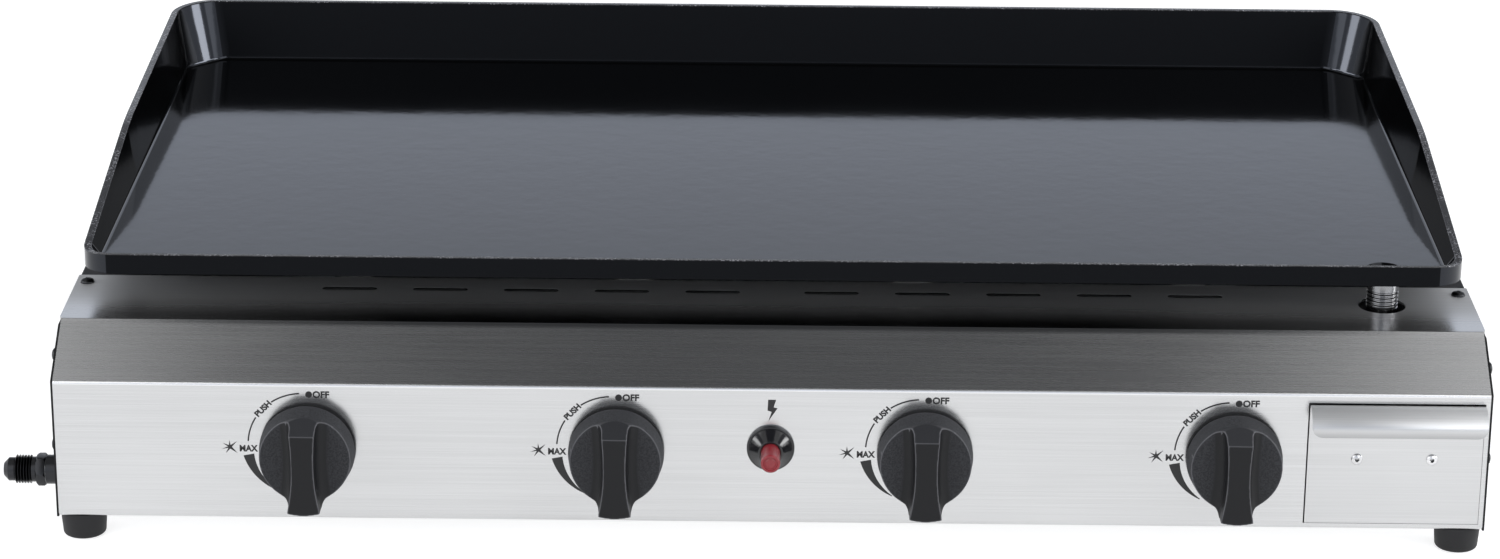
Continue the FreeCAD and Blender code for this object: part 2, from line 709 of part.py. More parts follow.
def base_side_screws():
    z = base_top + s.base_lip / 2
    behind_rails = s.sheet_gauge + s.tray_depth + s.side_flange
    return [(behind_rails, z), (s.body_depth - 2 * s.side_flange, z)]


def side_screws():
    return front_side_screws() + back_side_screws() + base_side_screws()


def deck_screws():
    y = deck_back - s.deck_screw_setback
    return [(side * (half_width - s.deck_screw_inset), y) for side in (-1, 1)]


def feet_spots():
    """Left front, right front, left back and right back."""
    rows = (s.foot_setback, s.body_depth - s.foot_setback)
    return [(side * (half_width - s.foot_inset), y) for y in rows for side in (-1, 1)]


def leg_spots():
    rows = (s.leg_front, s.body_depth - s.leg_setback)
    return [(side * (half_width - s.leg_inset), y) for y in rows for side in (-1, 1)]


def side_panel(label, side):
    """Black side sheet with a top flange that carries the plate and the deck's end."""
    body = new_body(label)
    gauge = s.sheet_gauge
    top_y = s.slope_run - gauge * s.slope_run / s.slope_rise
    outline = polygon(
        (0, bottom_z),
        (s.body_depth, bottom_z),
        (s.body_depth, flange_z),
        (top_y, flange_z),
        (0, bend_z),
    )
    pad(body, "YZ", side * inner_half, side, gauge, outline)
    flange = rectangle(s.side_flange_start, flange_z - gauge, back_inner, flange_z)
    pad(body, "YZ", side * inner_half, -side, s.side_flange, flange)
    round_edges(body, s.bend_radius, runs_along("y", x=side * half_width, z=flange_z))
    screws = [circle(y, z, s.screw_shank + s.screw_clearance) for y, z in side_screws()]
    holes = list(screws)
    if side < 0:
        pipe = s.manifold_diameter + s.inlet_hole_clearance
        holes.append(circle(s.manifold_setback, manifold_z, pipe))
    pocket(body, "YZ", side * half_width, -side, gauge, *holes)
    own = [spot for spot in deck_screws() + leg_spots() if spot[0].number * side > 0]
    drills = [s.screw_shank + s.screw_clearance]
    drills += [s.leg_pin + s.leg_pin_clearance] * (len(own) - 1)
    seats = [circle(x, y, drill) for (x, y), drill in zip(own, drills)]
    pocket(body, "XY", flange_z, -1, gauge, *seats)
    place(body)


def back_panel():
    """Back sheet with two rows of vents, folded tabs and flanges."""
    body = new_body("back_panel")
    gauge = s.sheet_gauge
    pad(body, "XZ", back_inner, 1, gauge, rectangle(-inner_half, bottom_z, inner_half, flange_z))
    foot = rectangle(-inner_half, s.body_depth - s.return_flange, inner_half, back_inner)
    pad(body, "XY", bottom_z, 1, gauge, foot)
    reach = inner_half - s.side_flange - s.drawer_gap
    shelf = rectangle(-reach, s.body_depth - s.return_flange, reach, back_inner)
    pad(body, "XY", flange_z, -1, gauge, shelf)
    low = bottom_z + s.tab_rise
    tab = rectangle(back_inner - s.back_tab_depth, low, back_inner, flange_z - s.base_lip)
    for side in (-1, 1):
        pad(body, "YZ", side * inner_half, -side, gauge, tab)
        holes = [circle(y, z, s.screw_shank + s.screw_clearance) for y, z in back_side_screws()]
        pocket(body, "YZ", side * inner_half, -side, gauge, *holes)
    low_row = bottom_z + s.back_vent_rise
    for z in (low_row, low_row + s.back_vent_row):
        for side in (-1, 1):
            places = [side * (i + 0.5) * s.back_vent_spacing for i in range(int(s.back_vents_a_side.number))]
            vents = [slot(x, z, s.back_vent_length, s.back_vent_height) for x in places]
            pocket(body, "XZ", s.body_depth, -1, gauge, *vents)
    feet = [circle(x, y, s.screw_shank + s.screw_clearance) for x, y in feet_spots()[2:]]
    pocket(body, "XY", base_z, -1, gauge, *feet)
    place(body)


def base_panel():
    """Floor of the body, with lips along the side panels and air slots under the burners."""
    body = new_body("base_panel")
    gauge = s.sheet_gauge
    front = gauge + s.bend_radius
    pad(body, "XY", base_z, 1, gauge, rectangle(-inner_half, front, inner_half, back_inner))
    lip_front, lip_back = s.manifold_setback + s.manifold_diameter, s.body_depth - s.side_flange
    lip = rectangle(lip_front, base_top, lip_back, base_top + s.base_lip)
    for side in (-1, 1):
        pad(body, "YZ", side * inner_half, -side, gauge, lip)
        holes = [circle(y, z, s.screw_shank + s.screw_clearance) for y, z in base_side_screws()]
        pocket(body, "YZ", side * inner_half, -side, gauge, *holes)
    cuts = [circle(x, y, s.screw_shank + s.screw_clearance) for x, y in feet_spots()]
    for x in stations:
        for row in range(2):
            y = s.air_slot_front + row * s.air_slot_gap
            cuts.append(slot(x, y, s.air_slot_length, s.air_slot_width))
    pocket(body, "XY", base_top, -1, gauge, *cuts)
    place(body)


def heat_baffle():
    """Wall between the valves and the burners, notched for the grease drawer."""
    body = new_body("heat_baffle")
    gauge = s.sheet_gauge
    under_flange = flange_z - gauge
    reach = inner_half - s.side_flange - s.drawer_gap
    notch_left = rail_left - s.rail_foot - s.baffle_notch_margin
    notch_top = tray_top + s.baffle_notch_margin
    half = inner_half - gauge
    wall = polygon(
        (-half, base_top),
        (notch_left, base_top),
        (notch_left, notch_top),
        (half, notch_top),
        (half, under_flange),
        (reach, under_flange),
        (reach, flange_z),
        (-reach, flange_z),
        (-reach, under_flange),
        (-half, under_flange),
    )
    pad(body, "XZ", baffle_front, 1, gauge, wall)
    flange = rectangle(-reach, baffle_front - s.baffle_flange, reach, baffle_front)
    pad(body, "XY", flange_z, -1, gauge, flange)
    holes = []
    for x in stations:
        holes.append(circle(x, axis_z, s.burner_tube + s.baffle_hole_clearance))
        spark_x, spark_z = x - s.electrode_side, axis_z + s.electrode_rise
        holes.append(circle(spark_x, spark_z, s.ceramic_diameter + s.screw_clearance))
    pocket(body, "XZ", baffle_front, 1, gauge, *holes)
    place(body)


def burner_rear_rail():
    """Angle across the back that carries the burners' rear pins."""
    body = new_body("burner_rear_rail")
    gauge = s.sheet_gauge
    half = stations[-1] + s.burner_tube
    pad(body, "XZ", rear_rail_y, 1, gauge, rectangle(-half, base_top, half, axis_z + s.rear_rail_rise))
    foot = rectangle(-half, rear_rail_y + gauge, half, rear_rail_y + gauge + s.rear_rail_foot)
    pad(body, "XY", base_top, 1, gauge, foot)
    holes = [circle(x, axis_z, s.burner_pin + s.screw_clearance) for x in stations]
    pocket(body, "XZ", rear_rail_y, 1, gauge, *holes)
    place(body)


def burner():
    """Tube burner: mixing throat with air windows, cone, ported tube, closed end and rear pin."""
    body = new_body("burner")
    wall = s.burner_wall
    tube, throat, pin = s.burner_tube / 2, s.burner_throat / 2, s.burner_pin / 2
    turn(
        body,
        "XY",
        "V",
        (throat - wall, burner_mouth),
        (throat, burner_mouth),
        (throat, throat_end),
        (tube, cone_end),
        (tube, burner_end),
        (pin, burner_end),
        (pin, burner_end + s.burner_pin_length),
        (0, burner_end + s.burner_pin_length),
        (0, burner_end - wall),
        (tube - wall, burner_end - wall),
        (tube - wall, cone_end),
        (throat - wall, throat_end),
    )
    pocket(body, "YZ", -s.burner_tube, 1, 2 * s.burner_tube, air_window(s.window_length))
    start = deck_back + s.port_start
    port = rectangle(start, s.port_rise, start + s.port_width, s.port_rise + s.port_height)
    ports = pocket(body, "YZ", -s.burner_tube, 1, 2 * s.burner_tube, port)
    row = body.newObject("PartDesign::LinearPattern", "burner_ports")
    row.Originals = [ports]
    along = next(part for part in body.Origin.OriginFeatures if part.Role == "Y_Axis")
    row.Direction = (along, [""])
    row.Occurrences = int(s.ports_a_side.number)
    row.setExpression("Length", (burner_end - s.port_finish - start).formula)
    body.Tip = row
    repeat(body)


def air_window(length):
    """Side window in the throat, at the middle of the air shutter."""
    middle = burner_mouth + s.shutter_start + s.shutter_length / 2
    half, rise = length / 2, s.window_height / 2
    return rectangle(middle - half, -rise, middle + half, rise)


def air_shutter():
    """Sleeve on the throat that sets how far the air windows are open."""
    body = new_body("air_shutter")
    inside = (s.burner_throat + s.shutter_clearance) / 2
    outside = inside + s.shutter_gauge
    start = burner_mouth + s.shutter_start
    end = start + s.shutter_length
    turn(body, "XY", "V", (inside, start), (outside, start), (outside, end), (inside, end))
    pocket(body, "YZ", -s.burner_tube, 1, 2 * s.burner_tube, air_window(s.window_length / 2))
    repeat(body)


def gas_manifold():
    """Pipe behind the front panel with a boss under each valve."""
    body = new_body("gas_manifold")
    pipe = s.manifold_diameter
    pad(body, "YZ", pipe_start, 1, pipe_end - pipe_start, circle(s.manifold_setback, manifold_z, pipe))
    bosses = [circle(x, s.manifold_setback, s.boss_diameter) for x in stations]
    pad(body, "XY", manifold_z, 1, s.boss_rise, *bosses)
    bore = circle(s.manifold_setback, manifold_z, pipe - 2 * s.manifold_wall)
    pocket(body, "YZ", pipe_start, 1, pipe_end - pipe_start, bore)
    gas_ways = [circle(x, s.manifold_setback, s.jet_diameter) for x in stations]
    pocket(body, "XY", manifold_z + s.boss_rise, -1, s.boss_rise, *gas_ways)
    place(body)


def manifold_end_cap():
    body = new_body("manifold_end_cap")
    rim = s.manifold_diameter / 2 + s.cap_rim
    turn(
        body,
        "XY",
        "H",
        (0, 0),
        (0, s.manifold_diameter / 2 - s.manifold_wall),
        (s.cap_length, s.manifold_diameter / 2 - s.manifold_wall),
        (s.cap_length, rim),
        (2 * s.cap_length, rim),
        (2 * s.cap_length, 0),
    )
    place(body, x=pipe_end - s.cap_length, y=s.manifold_setback, z=manifold_z)


def manifold_brackets():
    """Two angles on the base panel with the pipe through their upright legs."""
    body = new_group("manifold_brackets")
    gauge, half = s.bracket_gauge, s.bracket_width / 2
    front, back = s.manifold_setback - half, s.manifold_setback + half
    top = manifold_z + s.manifold_diameter / 2 + s.bracket_crown
    for x in (stations[0] + s.knob_spacing / 2, stations[2] + s.knob_spacing / 2):
        upright = rectangle(front, base_top, back, top)
        hole = circle(s.manifold_setback, manifold_z, s.manifold_diameter + s.screw_clearance)
        pad(body, "YZ", x, 1, gauge, upright, hole)
        foot = rectangle(x + gauge, front, x + gauge + s.bracket_foot, back)
        pad(body, "XY", base_top, 1, gauge, foot)
    place(body)


def gas_inlet():
    """Flare fitting on the left: spigot in the pipe, hexagon, thread and cone nose."""
    body = new_body("gas_inlet")
    hex_end = -s.inlet_hex_length
    thread_end = hex_end - s.inlet_thread_length
    tip = thread_end - s.inlet_nose
    bore, thread = s.inlet_bore / 2, s.inlet_thread / 2
    spigot = s.manifold_diameter / 2 - s.manifold_wall
    turn(
        body,
        "XY",
        "H",
        (s.inlet_spigot, bore),
        (s.inlet_spigot, spigot),
        (0, spigot),
        (0, thread),
        (thread_end, thread),
        (tip, thread - s.inlet_nose / 2),
        (tip, bore),
    )
    ring = circle(0, 0, s.inlet_thread)
    pad(body, "YZ", hex_end, 1, s.inlet_hex_length, hexagon(0, 0, s.inlet_hex), ring)
    place(body, x=pipe_start, y=s.manifold_setback, z=manifold_z)


def valve_body():
    """Cast valve: neck for the stem, bonnet, barrel with the plug's bore, outlet and inlet leg."""
    body = new_body("valve_body")
    neck, bonnet, barrel = s.valve_neck / 2, s.valve_bonnet / 2, s.valve_body / 2
    nozzle = s.valve_nozzle / 2
    stem = (s.stem_diameter + s.stem_clearance) / 2
    plug = (s.plug_diameter + s.stem_clearance) / 2
    plug_back = plug_end + s.stem_clearance / 2
    way = s.gas_way / 2
    turn(
        body,
        "XY",
        "V",
        (stem, valve_start),
        (neck, valve_start),
        (neck, s.stem_depth),
        (bonnet, s.stem_depth),
        (bonnet, s.stem_depth + s.valve_bonnet_depth),
        (barrel, s.stem_depth + s.valve_bonnet_depth),
        (barrel, valve_end),
        (nozzle, valve_end),
        (nozzle, nozzle_end),
        (way, nozzle_end),
        (way, plug_back),
        (plug, plug_back),
        (plug, s.stem_depth - s.stem_clearance / 2),
        (stem, s.stem_depth - s.stem_clearance / 2),
    )
    drop = s.knob_rise - s.manifold_rise - s.boss_rise
    leg = circle(0, s.manifold_setback, s.boss_diameter)
    leg_top = (plug + barrel) / 2
    pad(body, "XY", -drop, 1, drop - leg_top, leg)
    gas_way = circle(0, s.manifold_setback, s.gas_way)
    pocket(body, "XY", -drop, 1, drop - nozzle, gas_way)
    repeat(body)


def gas_jets():
    """Brass jets screwed on the valves' outlets."""
    body = new_group("gas_jets")
    rings = []
    for x in stations:
        rings += [circle(x, axis_z, s.jet_diameter), circle(x, axis_z, s.jet_bore)]
    pad(body, "XZ", nozzle_end, 1, s.jet_length, *rings)
    place(body)


def valve_plug():
    """Turning plug inside the valve, with the socket for the stem's tongue."""
    body = new_body("valve_plug")
    plug = s.plug_diameter / 2
    socket = (s.stem_tail + s.stem_clearance) / 2
    socket_end = plug_start + s.stem_tail_length + s.stem_clearance
    turn(
        body,
        "XY",
        "V",
        (socket, plug_start),
        (plug, plug_start),
        (plug, plug_end),
        (0, plug_end),
        (0, socket_end),
        (socket, socket_end),
    )
    inlet = circle(s.manifold_setback - s.gas_way / 2, 0, s.gas_way / 2)
    pocket(body, "YZ", -plug, 1, plug, inlet)
    pocket(body, "XZ", plug_end, -1, s.gas_way, circle(0, 0, s.gas_way / 2))
    repeat(body)


def valve_stem():
    """Stem that the knob sits on; its tongue slides in the plug when the knob is pushed."""
    body = new_body("valve_stem")
    stem, tail = s.stem_diameter / 2, s.stem_tail / 2
    tip = -(s.knob_gap + s.stem_reach)
    turn(
        body,
        "XY",
        "V",
        (0, tip),
        (stem, tip),
        (stem, s.stem_depth),
        (tail, s.stem_depth),
        (tail, s.stem_depth + s.stem_tail_length),
        (0, s.stem_depth + s.stem_tail_length),
    )
    repeat(body)


def grip_outline():
    """The grip bar seen from the front: hollow sides from the shoulder to the wider tail."""
    top_z, tail_z = s.knob_front / 2, -s.grip_foot
    top, waist, tail = s.grip_top / 2, s.grip_waist / 2, s.grip_tail / 2
    corners = [(-tail, tail_z), (tail, tail_z), (top, top_z), (-top, top_z)]
    return polygon(*corners, bows={1: (waist, 0), 3: (-waist, 0)})


def control_knob():
    """Moulded knob: tapered skirt, finger scoops, grip bar, hollow back and hub."""
    body = new_body("control_knob")
    back, front = -s.knob_gap, -(s.knob_gap + s.knob_skirt)
    face = front - s.grip_reach
    turn(
        body,
        "XY",
        "V",
        (0, back),
        (s.knob_back / 2, back),
        (s.knob_front / 2, front),
        (0, front),
    )
    rise = s.knob_scoop - s.knob_scoop_depth
    middle = (s.grip_waist + s.knob_front) / 4
    scoops = [circle(side * middle, front - rise, 2 * s.knob_scoop) for side in (-1, 1)]
    pocket(body, "XY", -s.knob_back, 1, 2 * s.knob_back, *scoops)
    pad(body, "XZ", back - s.knob_wall, -1, s.knob_skirt + s.grip_reach - s.knob_wall, grip_outline())
    slope = polygon(
        (front, s.knob_front / 2),
        (face, s.grip_shoulder),
        (face, s.knob_back),
        (front, s.knob_back),
    )
    pocket(body, "YZ", -s.knob_back, 1, 2 * s.knob_back, slope)
    round_edges(body, s.grip_edge, lies_at(y=face))
    hollow = circle(0, 0, s.knob_front - 2 * s.knob_wall)
    hub = circle(0, 0, s.knob_hub)
    depth = s.knob_skirt - s.knob_wall - s.knob_scoop_depth
    pocket(body, "XZ", back, -1, depth, hollow, hub)
    bore = circle(0, 0, s.stem_diameter)
    pocket(body, "XZ", back, -1, s.stem_reach, bore)
    repeat(body)


def igniter_body():
    """Push igniter behind the panel, with its barrel through the panel."""
    body = new_body("igniter_body")
    barrel, case = s.igniter_barrel / 2, s.igniter_body / 2
    bore = (s.button_diameter + s.button_clearance) / 2
    end = s.sheet_gauge + s.igniter_body_length
    bore_end = s.button_tail + s.button_travel + s.button_clearance
    turn(
        body,
        "XY",
        "V",
        (bore, -s.igniter_grip),
        (barrel, -s.igniter_grip),
        (barrel, s.sheet_gauge),
        (case, s.sheet_gauge),
        (case, end),
        (s.igniter_terminal / 2, end),
        (s.igniter_terminal / 2, end + s.igniter_terminal_length),
        (0, end + s.igniter_terminal_length),
        (0, bore_end),
        (bore, bore_end),
    )
    place(body, z=igniter_z)


def igniter_nut():
    """Cone nut that holds the igniter against the front of the panel."""
    body = new_body("igniter_nut")
    rim, nose = s.igniter_nut / 2, s.igniter_collar / 2
    thread = (s.igniter_barrel + s.igniter_barrel_clearance) / 2
    bore = (s.button_diameter + s.button_clearance) / 2
    tip = -(s.igniter_nut_rim + s.igniter_nut_cone)
    seat = -(s.igniter_grip + s.igniter_barrel_clearance)
    turn(
        body,
        "XY",
        "V",
        (thread, 0),
        (rim, 0),
        (rim, -s.igniter_nut_rim),
        (nose, tip),
        (bore, tip),
        (bore, seat),
        (thread, seat),
    )
    place(body, z=igniter_z)


def igniter_button():
    body = new_body("igniter_button")
    length = s.button_reach + s.button_tail
    pad(body, "XZ", s.button_tail, -1, length, circle(0, 0, s.button_diameter))
    round_edges(body, s.button_edge, lies_at(y=-s.button_reach))
    place(body, z=igniter_z)


def electrodes():
    """Ceramic insulators through the baffle, beside the first flame ports."""
    body = new_group("electrode_ceramics")
    spots = [(x - s.electrode_side, axis_z + s.electrode_rise) for x in stations]
    rod = s.electrode_rod
    collar = s.ceramic_collar_length
    start = baffle_front - s.ceramic_front
    length = s.ceramic_front + s.sheet_gauge + s.ceramic_back
    sleeves = []
    collars = []
    for x, z in spots:
        sleeves += [circle(x, z, s.ceramic_diameter), circle(x, z, rod)]
        collars += [circle(x, z, s.ceramic_collar), circle(x, z, rod)]
    pad(body, "XZ", start, 1, length, *sleeves)
    pad(body, "XZ", baffle_front - collar, 1, collar, *collars)
    place(body)
    wires = new_group("electrode_rods")
    tips = [circle(x, z, rod) for x, z in spots]
    pad(wires, "XZ", start - s.electrode_tip / 2, 1, length + 1.5 * s.electrode_tip, *tips)
    place(wires)


def drawer_front():
    """Stainless drawer front with a rolled handle along its top edge."""
    body = new_body("drawer_front")
    gauge, reach = s.sheet_gauge, s.handle_reach
    profile = polygon(
        (0, drawer_low),
        (gauge, drawer_low),
        (gauge, drawer_top),
        (-reach, drawer_top),
        (-reach, drawer_top - s.handle_drop),
        (gauge - reach, drawer_top - s.handle_drop),
        (gauge - reach, drawer_top - gauge),
        (0, drawer_top - gauge),
    )
    pad(body, "YZ", drawer_left, 1, s.drawer_width, profile)
    outer = runs_along("x", y=-reach, z=drawer_top)
    inner = runs_along("x", y=gauge - reach, z=drawer_top - gauge)
    round_edges(body, s.handle_radius, outer)
    round_edges(body, s.handle_radius - gauge, inner)
    round_edges(body, s.bend_radius + gauge, runs_along("x", y=gauge, z=drawer_top))
    round_edges(body, s.bend_radius, runs_along("x", y=0, z=drawer_top - gauge))
    low = drawer_top - s.handle_drop
    lip = gauge / 2 - reach
    corners = [runs_along("y", x=x, y=lip, z=low) for x in (drawer_left, drawer_right)]
    round_edges(body, s.handle_corner, either(*corners))
    holes = [circle(x, z, s.rivet_shank) for x, z in rivet_spots()]
    pocket(body, "XZ", 0, 1, gauge, *holes)
    place(body)


def rivet_spots():
    z = drawer_top - s.rivet_drop
    return [(drawer_x + side * s.rivet_spacing / 2, z) for side in (-1, 1)]


def drawer_rivets():
    """Pop rivets that hold the drawer front on the grease tray."""
    body = new_group("drawer_rivets")
    shanks = [circle(x, z, s.rivet_shank) for x, z in rivet_spots()]
    heads = [circle(x, z, s.rivet_head) for x, z in rivet_spots()]
    grip = s.sheet_gauge + s.tray_wall
    pad(body, "XZ", 0, 1, grip + s.rivet_head_height, *shanks)
    pad(body, "XZ", 0, -1, s.rivet_head_height, *heads)
    round_edges(body, s.rivet_edge, lies_at(y=-s.rivet_head_height))
    tails = [circle(x, z, s.rivet_tail) for x, z in rivet_spots()]
    pad(body, "XZ", grip, 1, s.rivet_head_height, *tails)
    place(body)


def grease_tray():
    """Open tray with runner lips along its two long top edges."""
    body = new_body("grease_tray")
    wall, front = s.tray_wall, s.sheet_gauge
    back = front + s.tray_depth
    pad(body, "XY", tray_low, 1, s.tray_height, rectangle(tray_left, front, tray_right, back))
    corners = [runs_along("z", x=x, y=y) for x in (tray_left, tray_right) for y in (front, back)]
    round_edges(body, s.tray_corner, either(*corners))
    hollow_out(body, tray_top, wall)
    start, end = front + s.tray_corner, back - s.tray_corner
    for edge, side in ((tray_left, -1), (tray_right, 1)):
        lip = rectangle(start, lip_low, end, tray_top)
        pad(body, "YZ", edge, side, s.tray_lip, lip)
    holes = [circle(x, z, s.rivet_shank) for x, z in rivet_spots()]
    pocket(body, "XZ", front, 1, wall, *holes)
    place(body)


def drawer_rail(label, edge, side, foot_side):
    """Upright rail on the base panel whose top ledge carries a runner lip of the tray."""
    body = new_body(label)
    length = s.sheet_gauge + s.tray_depth - s.rail_start
    pad(body, "XZ", s.rail_start, 1, length, rail_section(edge, side, foot_side))
    place(body)


def rail_section(edge, side, foot_side):
    """Z or C shape: ledge under the lip, upright wall and a foot on the base panel."""
    gauge = s.sheet_gauge
    outer = edge + side * gauge
    ledge = edge - side * (s.tray_lip - s.rail_gap)
    upper = [(ledge, rail_z - gauge), (edge, rail_z - gauge)]
    upper_end = [(outer, rail_z), (ledge, rail_z)]
    if foot_side == side:
        far = outer + side * s.rail_foot
        lower = [(edge, base_top), (far, base_top), (far, base_top + gauge), (outer, base_top + gauge)]
    else:
        far = edge - side * s.rail_foot
        lower = [(edge, base_top + gauge), (far, base_top + gauge), (far, base_top), (outer, base_top)]
    return polygon(*upper, *lower, *upper_end)


def floor_outline():
    """The flat floor of the cooking plate, inside the bend of its rim."""
    bend = s.griddle_wall + s.griddle_bend
    left, right = bend - griddle_half, griddle_half - bend
    corners = (s.griddle_front_corner - bend, s.griddle_back_corner - bend)
    return rounded_rectangle(left, s.griddle_front + bend, right, griddle_back - bend, *corners)


def griddle_plate():
    """Flat enamelled floor of the cooking plate, with the drain hole."""
    body = new_body("griddle_plate")
    drain = circle(drawer_x, spout_y, s.spout_bore)
    pad(body, "XY", griddle_low, 1, s.griddle_wall, floor_outline(), drain)
    place(body)


def griddle_rim():
    """Pressed rim welded around the floor: low at the front and climbing to the back."""
    body = new_body("griddle_rim")
    front, back, over = s.griddle_front, griddle_back, s.griddle_wall
    rim_z = floor_z + s.griddle_back_rim
    outline = rectangle(-griddle_half, front, griddle_half, back)
    pad(body, "XY", griddle_low, 1, rim_z - griddle_low, outline)
    round_edges(body, s.griddle_front_corner, runs_along("z", y=front))
    round_edges(body, s.griddle_back_corner, runs_along("z", y=back))
    hollow_out(body, rim_z, s.griddle_wall)
    round_edges(body, s.griddle_bend, lies_at(z=floor_z))
    round_edges(body, s.griddle_edge, lies_at(z=griddle_low))
    above = rim_z + s.griddle_back_rim
    knee_y, knee_z = front + s.griddle_knee_setback, floor_z + s.griddle_knee_rim
    dip_y, dip_z = front + s.griddle_dip_setback, floor_z + s.griddle_dip_rim
    run = s.griddle_knee_run
    climb = run * (knee_z - dip_z) / (knee_y - dip_y)
    crest = run * (rim_z - knee_z) / (back - knee_y)
    rim_line = polygon(
        (front - over, floor_z + s.griddle_front_rim),
        (front + over, floor_z + s.griddle_front_rim),
        (dip_y, dip_z),
        (knee_y - run, knee_z - climb),
        (knee_y + run, knee_z + crest),
        (back, rim_z),
        (back, above),
        (front - over, above),
        bows={3: (knee_y, knee_z + (crest - climb) / 4)},
    )
    pocket(body, "YZ", -(griddle_half + over), 1, 2 * (griddle_half + over), rim_line)
    pocket(body, "XY", floor_z, -1, s.griddle_wall, floor_outline())
    place(body)


def drain_spout():
    """Tube under the drain hole that leads the fat down to the grease tray."""
    body = new_body("drain_spout")
    ring = (circle(0, 0, s.spout_outside), circle(0, 0, s.spout_bore))
    pad(body, "XY", 0, -1, s.griddle_lift + s.spout_drop, *ring)
    place(body, x=drawer_x, y=spout_y, z=griddle_low)


def griddle_legs():
    """Posts under the plate that stand on the side panels, each with a locating pin."""
    body = new_group("griddle_legs")
    posts = [circle(x, y, s.leg_diameter) for x, y in leg_spots()]
    pins = [circle(x, y, s.leg_pin) for x, y in leg_spots()]
    pad(body, "XY", flange_z, 1, griddle_low - flange_z, *posts)
    pad(body, "XY", flange_z, -1, s.leg_pin_length, *pins)
    round_edges(body, s.leg_pin_edge, lies_at(z=flange_z - s.leg_pin_length))
    place(body)


def foot(label, x, y):
    """Tapered rubber foot with a recess for its screw."""
    body = new_body(label)
    top, low, recess = s.foot_top / 2, s.foot_bottom / 2, s.foot_recess / 2
    hole = (s.screw_shank + s.screw_clearance) / 2
    turn(
        body,
        "XZ",
        "V",
        (recess, 0),
        (low, 0),
        (top, s.foot_height),
        (hole, s.foot_height),
        (hole, s.foot_recess_depth),
        (recess, s.foot_recess_depth),
    )
    place(body, x=x, y=y)


def foot_screws():
    body = new_group("foot_screws")
    head_z = s.foot_recess_depth
    shanks = [circle(x, y, s.screw_shank) for x, y in feet_spots()]
    heads = [circle(x, y, s.screw_head) for x, y in feet_spots()]
    pad(body, "XY", head_z, 1, base_top + s.nut_height - head_z, *shanks)
    pad(body, "XY", head_z, -1, s.screw_head_height, *heads)
    place(body)


def foot_nuts():
    body = new_group("foot_nuts")
    rings = []
    for x, y in feet_spots():
        rings += [hexagon(x, y, s.nut_width), circle(x, y, s.screw_shank + s.screw_clearance)]
    pad(body, "XY", base_top, 1, s.nut_height, *rings)
    place(body)


def dome_screws(label, plane, seat, outward, spots):
    """Black dome screws: shanks through the sheets, heads on the outside."""
    body = new_group(label)
    shanks = [circle(u, v, s.screw_shank) for u, v in spots]
    heads = [circle(u, v, s.screw_head) for u, v in spots]
    pad(body, plane, seat, -outward, s.screw_length, *shanks)
    pad(body, plane, seat, outward, s.screw_head_height, *heads)
    crown = seat + outward * s.screw_head_height
    axis = {"XY": "z", "YZ": "x"}[plane]
    round_edges(body, s.screw_edge, lies_at(**{axis: crown}))
    place(body)


def build():
    front_fascia()
    side_panel("left_side_panel", -1)
    side_panel("right_side_panel", 1)
    back_panel()
    base_panel()
    heat_baffle()
    burner_rear_rail()
    gas_manifold()
    manifold_end_cap()
    manifold_brackets()
    gas_inlet()
    gas_jets()
    burner()
    air_shutter()
    valve_body()
    valve_plug()
    valve_stem()
    control_knob()
    igniter_body()
    igniter_nut()
    igniter_button()
    electrodes()
    drawer_front()
    grease_tray()
    drawer_rivets()
    drawer_rail("drawer_rail_left", rail_left, -1, -1)
    drawer_rail("drawer_rail_right", rail_right, 1, -1)
    griddle_plate()
    griddle_rim()
    drain_spout()
    griddle_legs()
    names = ("foot_front_left", "foot_front_right", "foot_back_left", "foot_back_right")
    for name, (x, y) in zip(names, feet_spots()):
        foot(name, x, y)
    foot_screws()
    foot_nuts()
    dome_screws("deck_screws", "XY", deck_z, 1, deck_screws())
    dome_screws("left_side_screws", "YZ", -half_width, -1, side_screws())
    dome_screws("right_side_screws", "YZ", half_width, 1, side_screws())


def check_and_write():
    doc.recompute()
    for item in doc.Objects:
        if {"Invalid", "Error"} & set(item.State):
            raise RuntimeError(f"{item.Label} did not compute: {item.State}")
    for cut in cuts:
        if cut.Shape.Volume >= cut.BaseFeature.Shape.Volume:
            raise RuntimeError(f"{cut.Label} removed nothing")
    for piece in nodes:
        if piece.Shape.isNull() or not piece.Shape.isValid():
            raise RuntimeError(f"{piece.Label} has no valid shape")
        if len(piece.Shape.Solids) != 1 and not piece.AllowCompound:
            raise RuntimeError(f"{piece.Label} fell into {len(piece.Shape.Solids)} solids")
    os.makedirs(NODE_FOLDER, exist_ok=True)
    for piece in nodes:
        piece.Shape.exportStep(os.path.join(NODE_FOLDER, f"{piece.Label}.step"))
    whole = FreeCAD.BoundBox()
    for piece in nodes:
        whole.add(piece.Shape.BoundBox)
    print(f"{len(nodes)} nodes, {whole.XLength:.1f} x {whole.YLength:.1f} x {whole.ZLength:.1f} mm")


build()
check_and_write()
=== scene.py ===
# %% [markdown]
# A table-top gas griddle, dressed in Blender over its CAD model.
# The CAD model gives every piece its size, place and joint. This script gives the pieces their looks: it
# loads the model as a fixed frame, paints each finish with nodes, and models again those pieces whose
# roundings, threads or prints show in a close look.

import json
import math

import bmesh
import bpy
from mathutils import Matrix, Vector


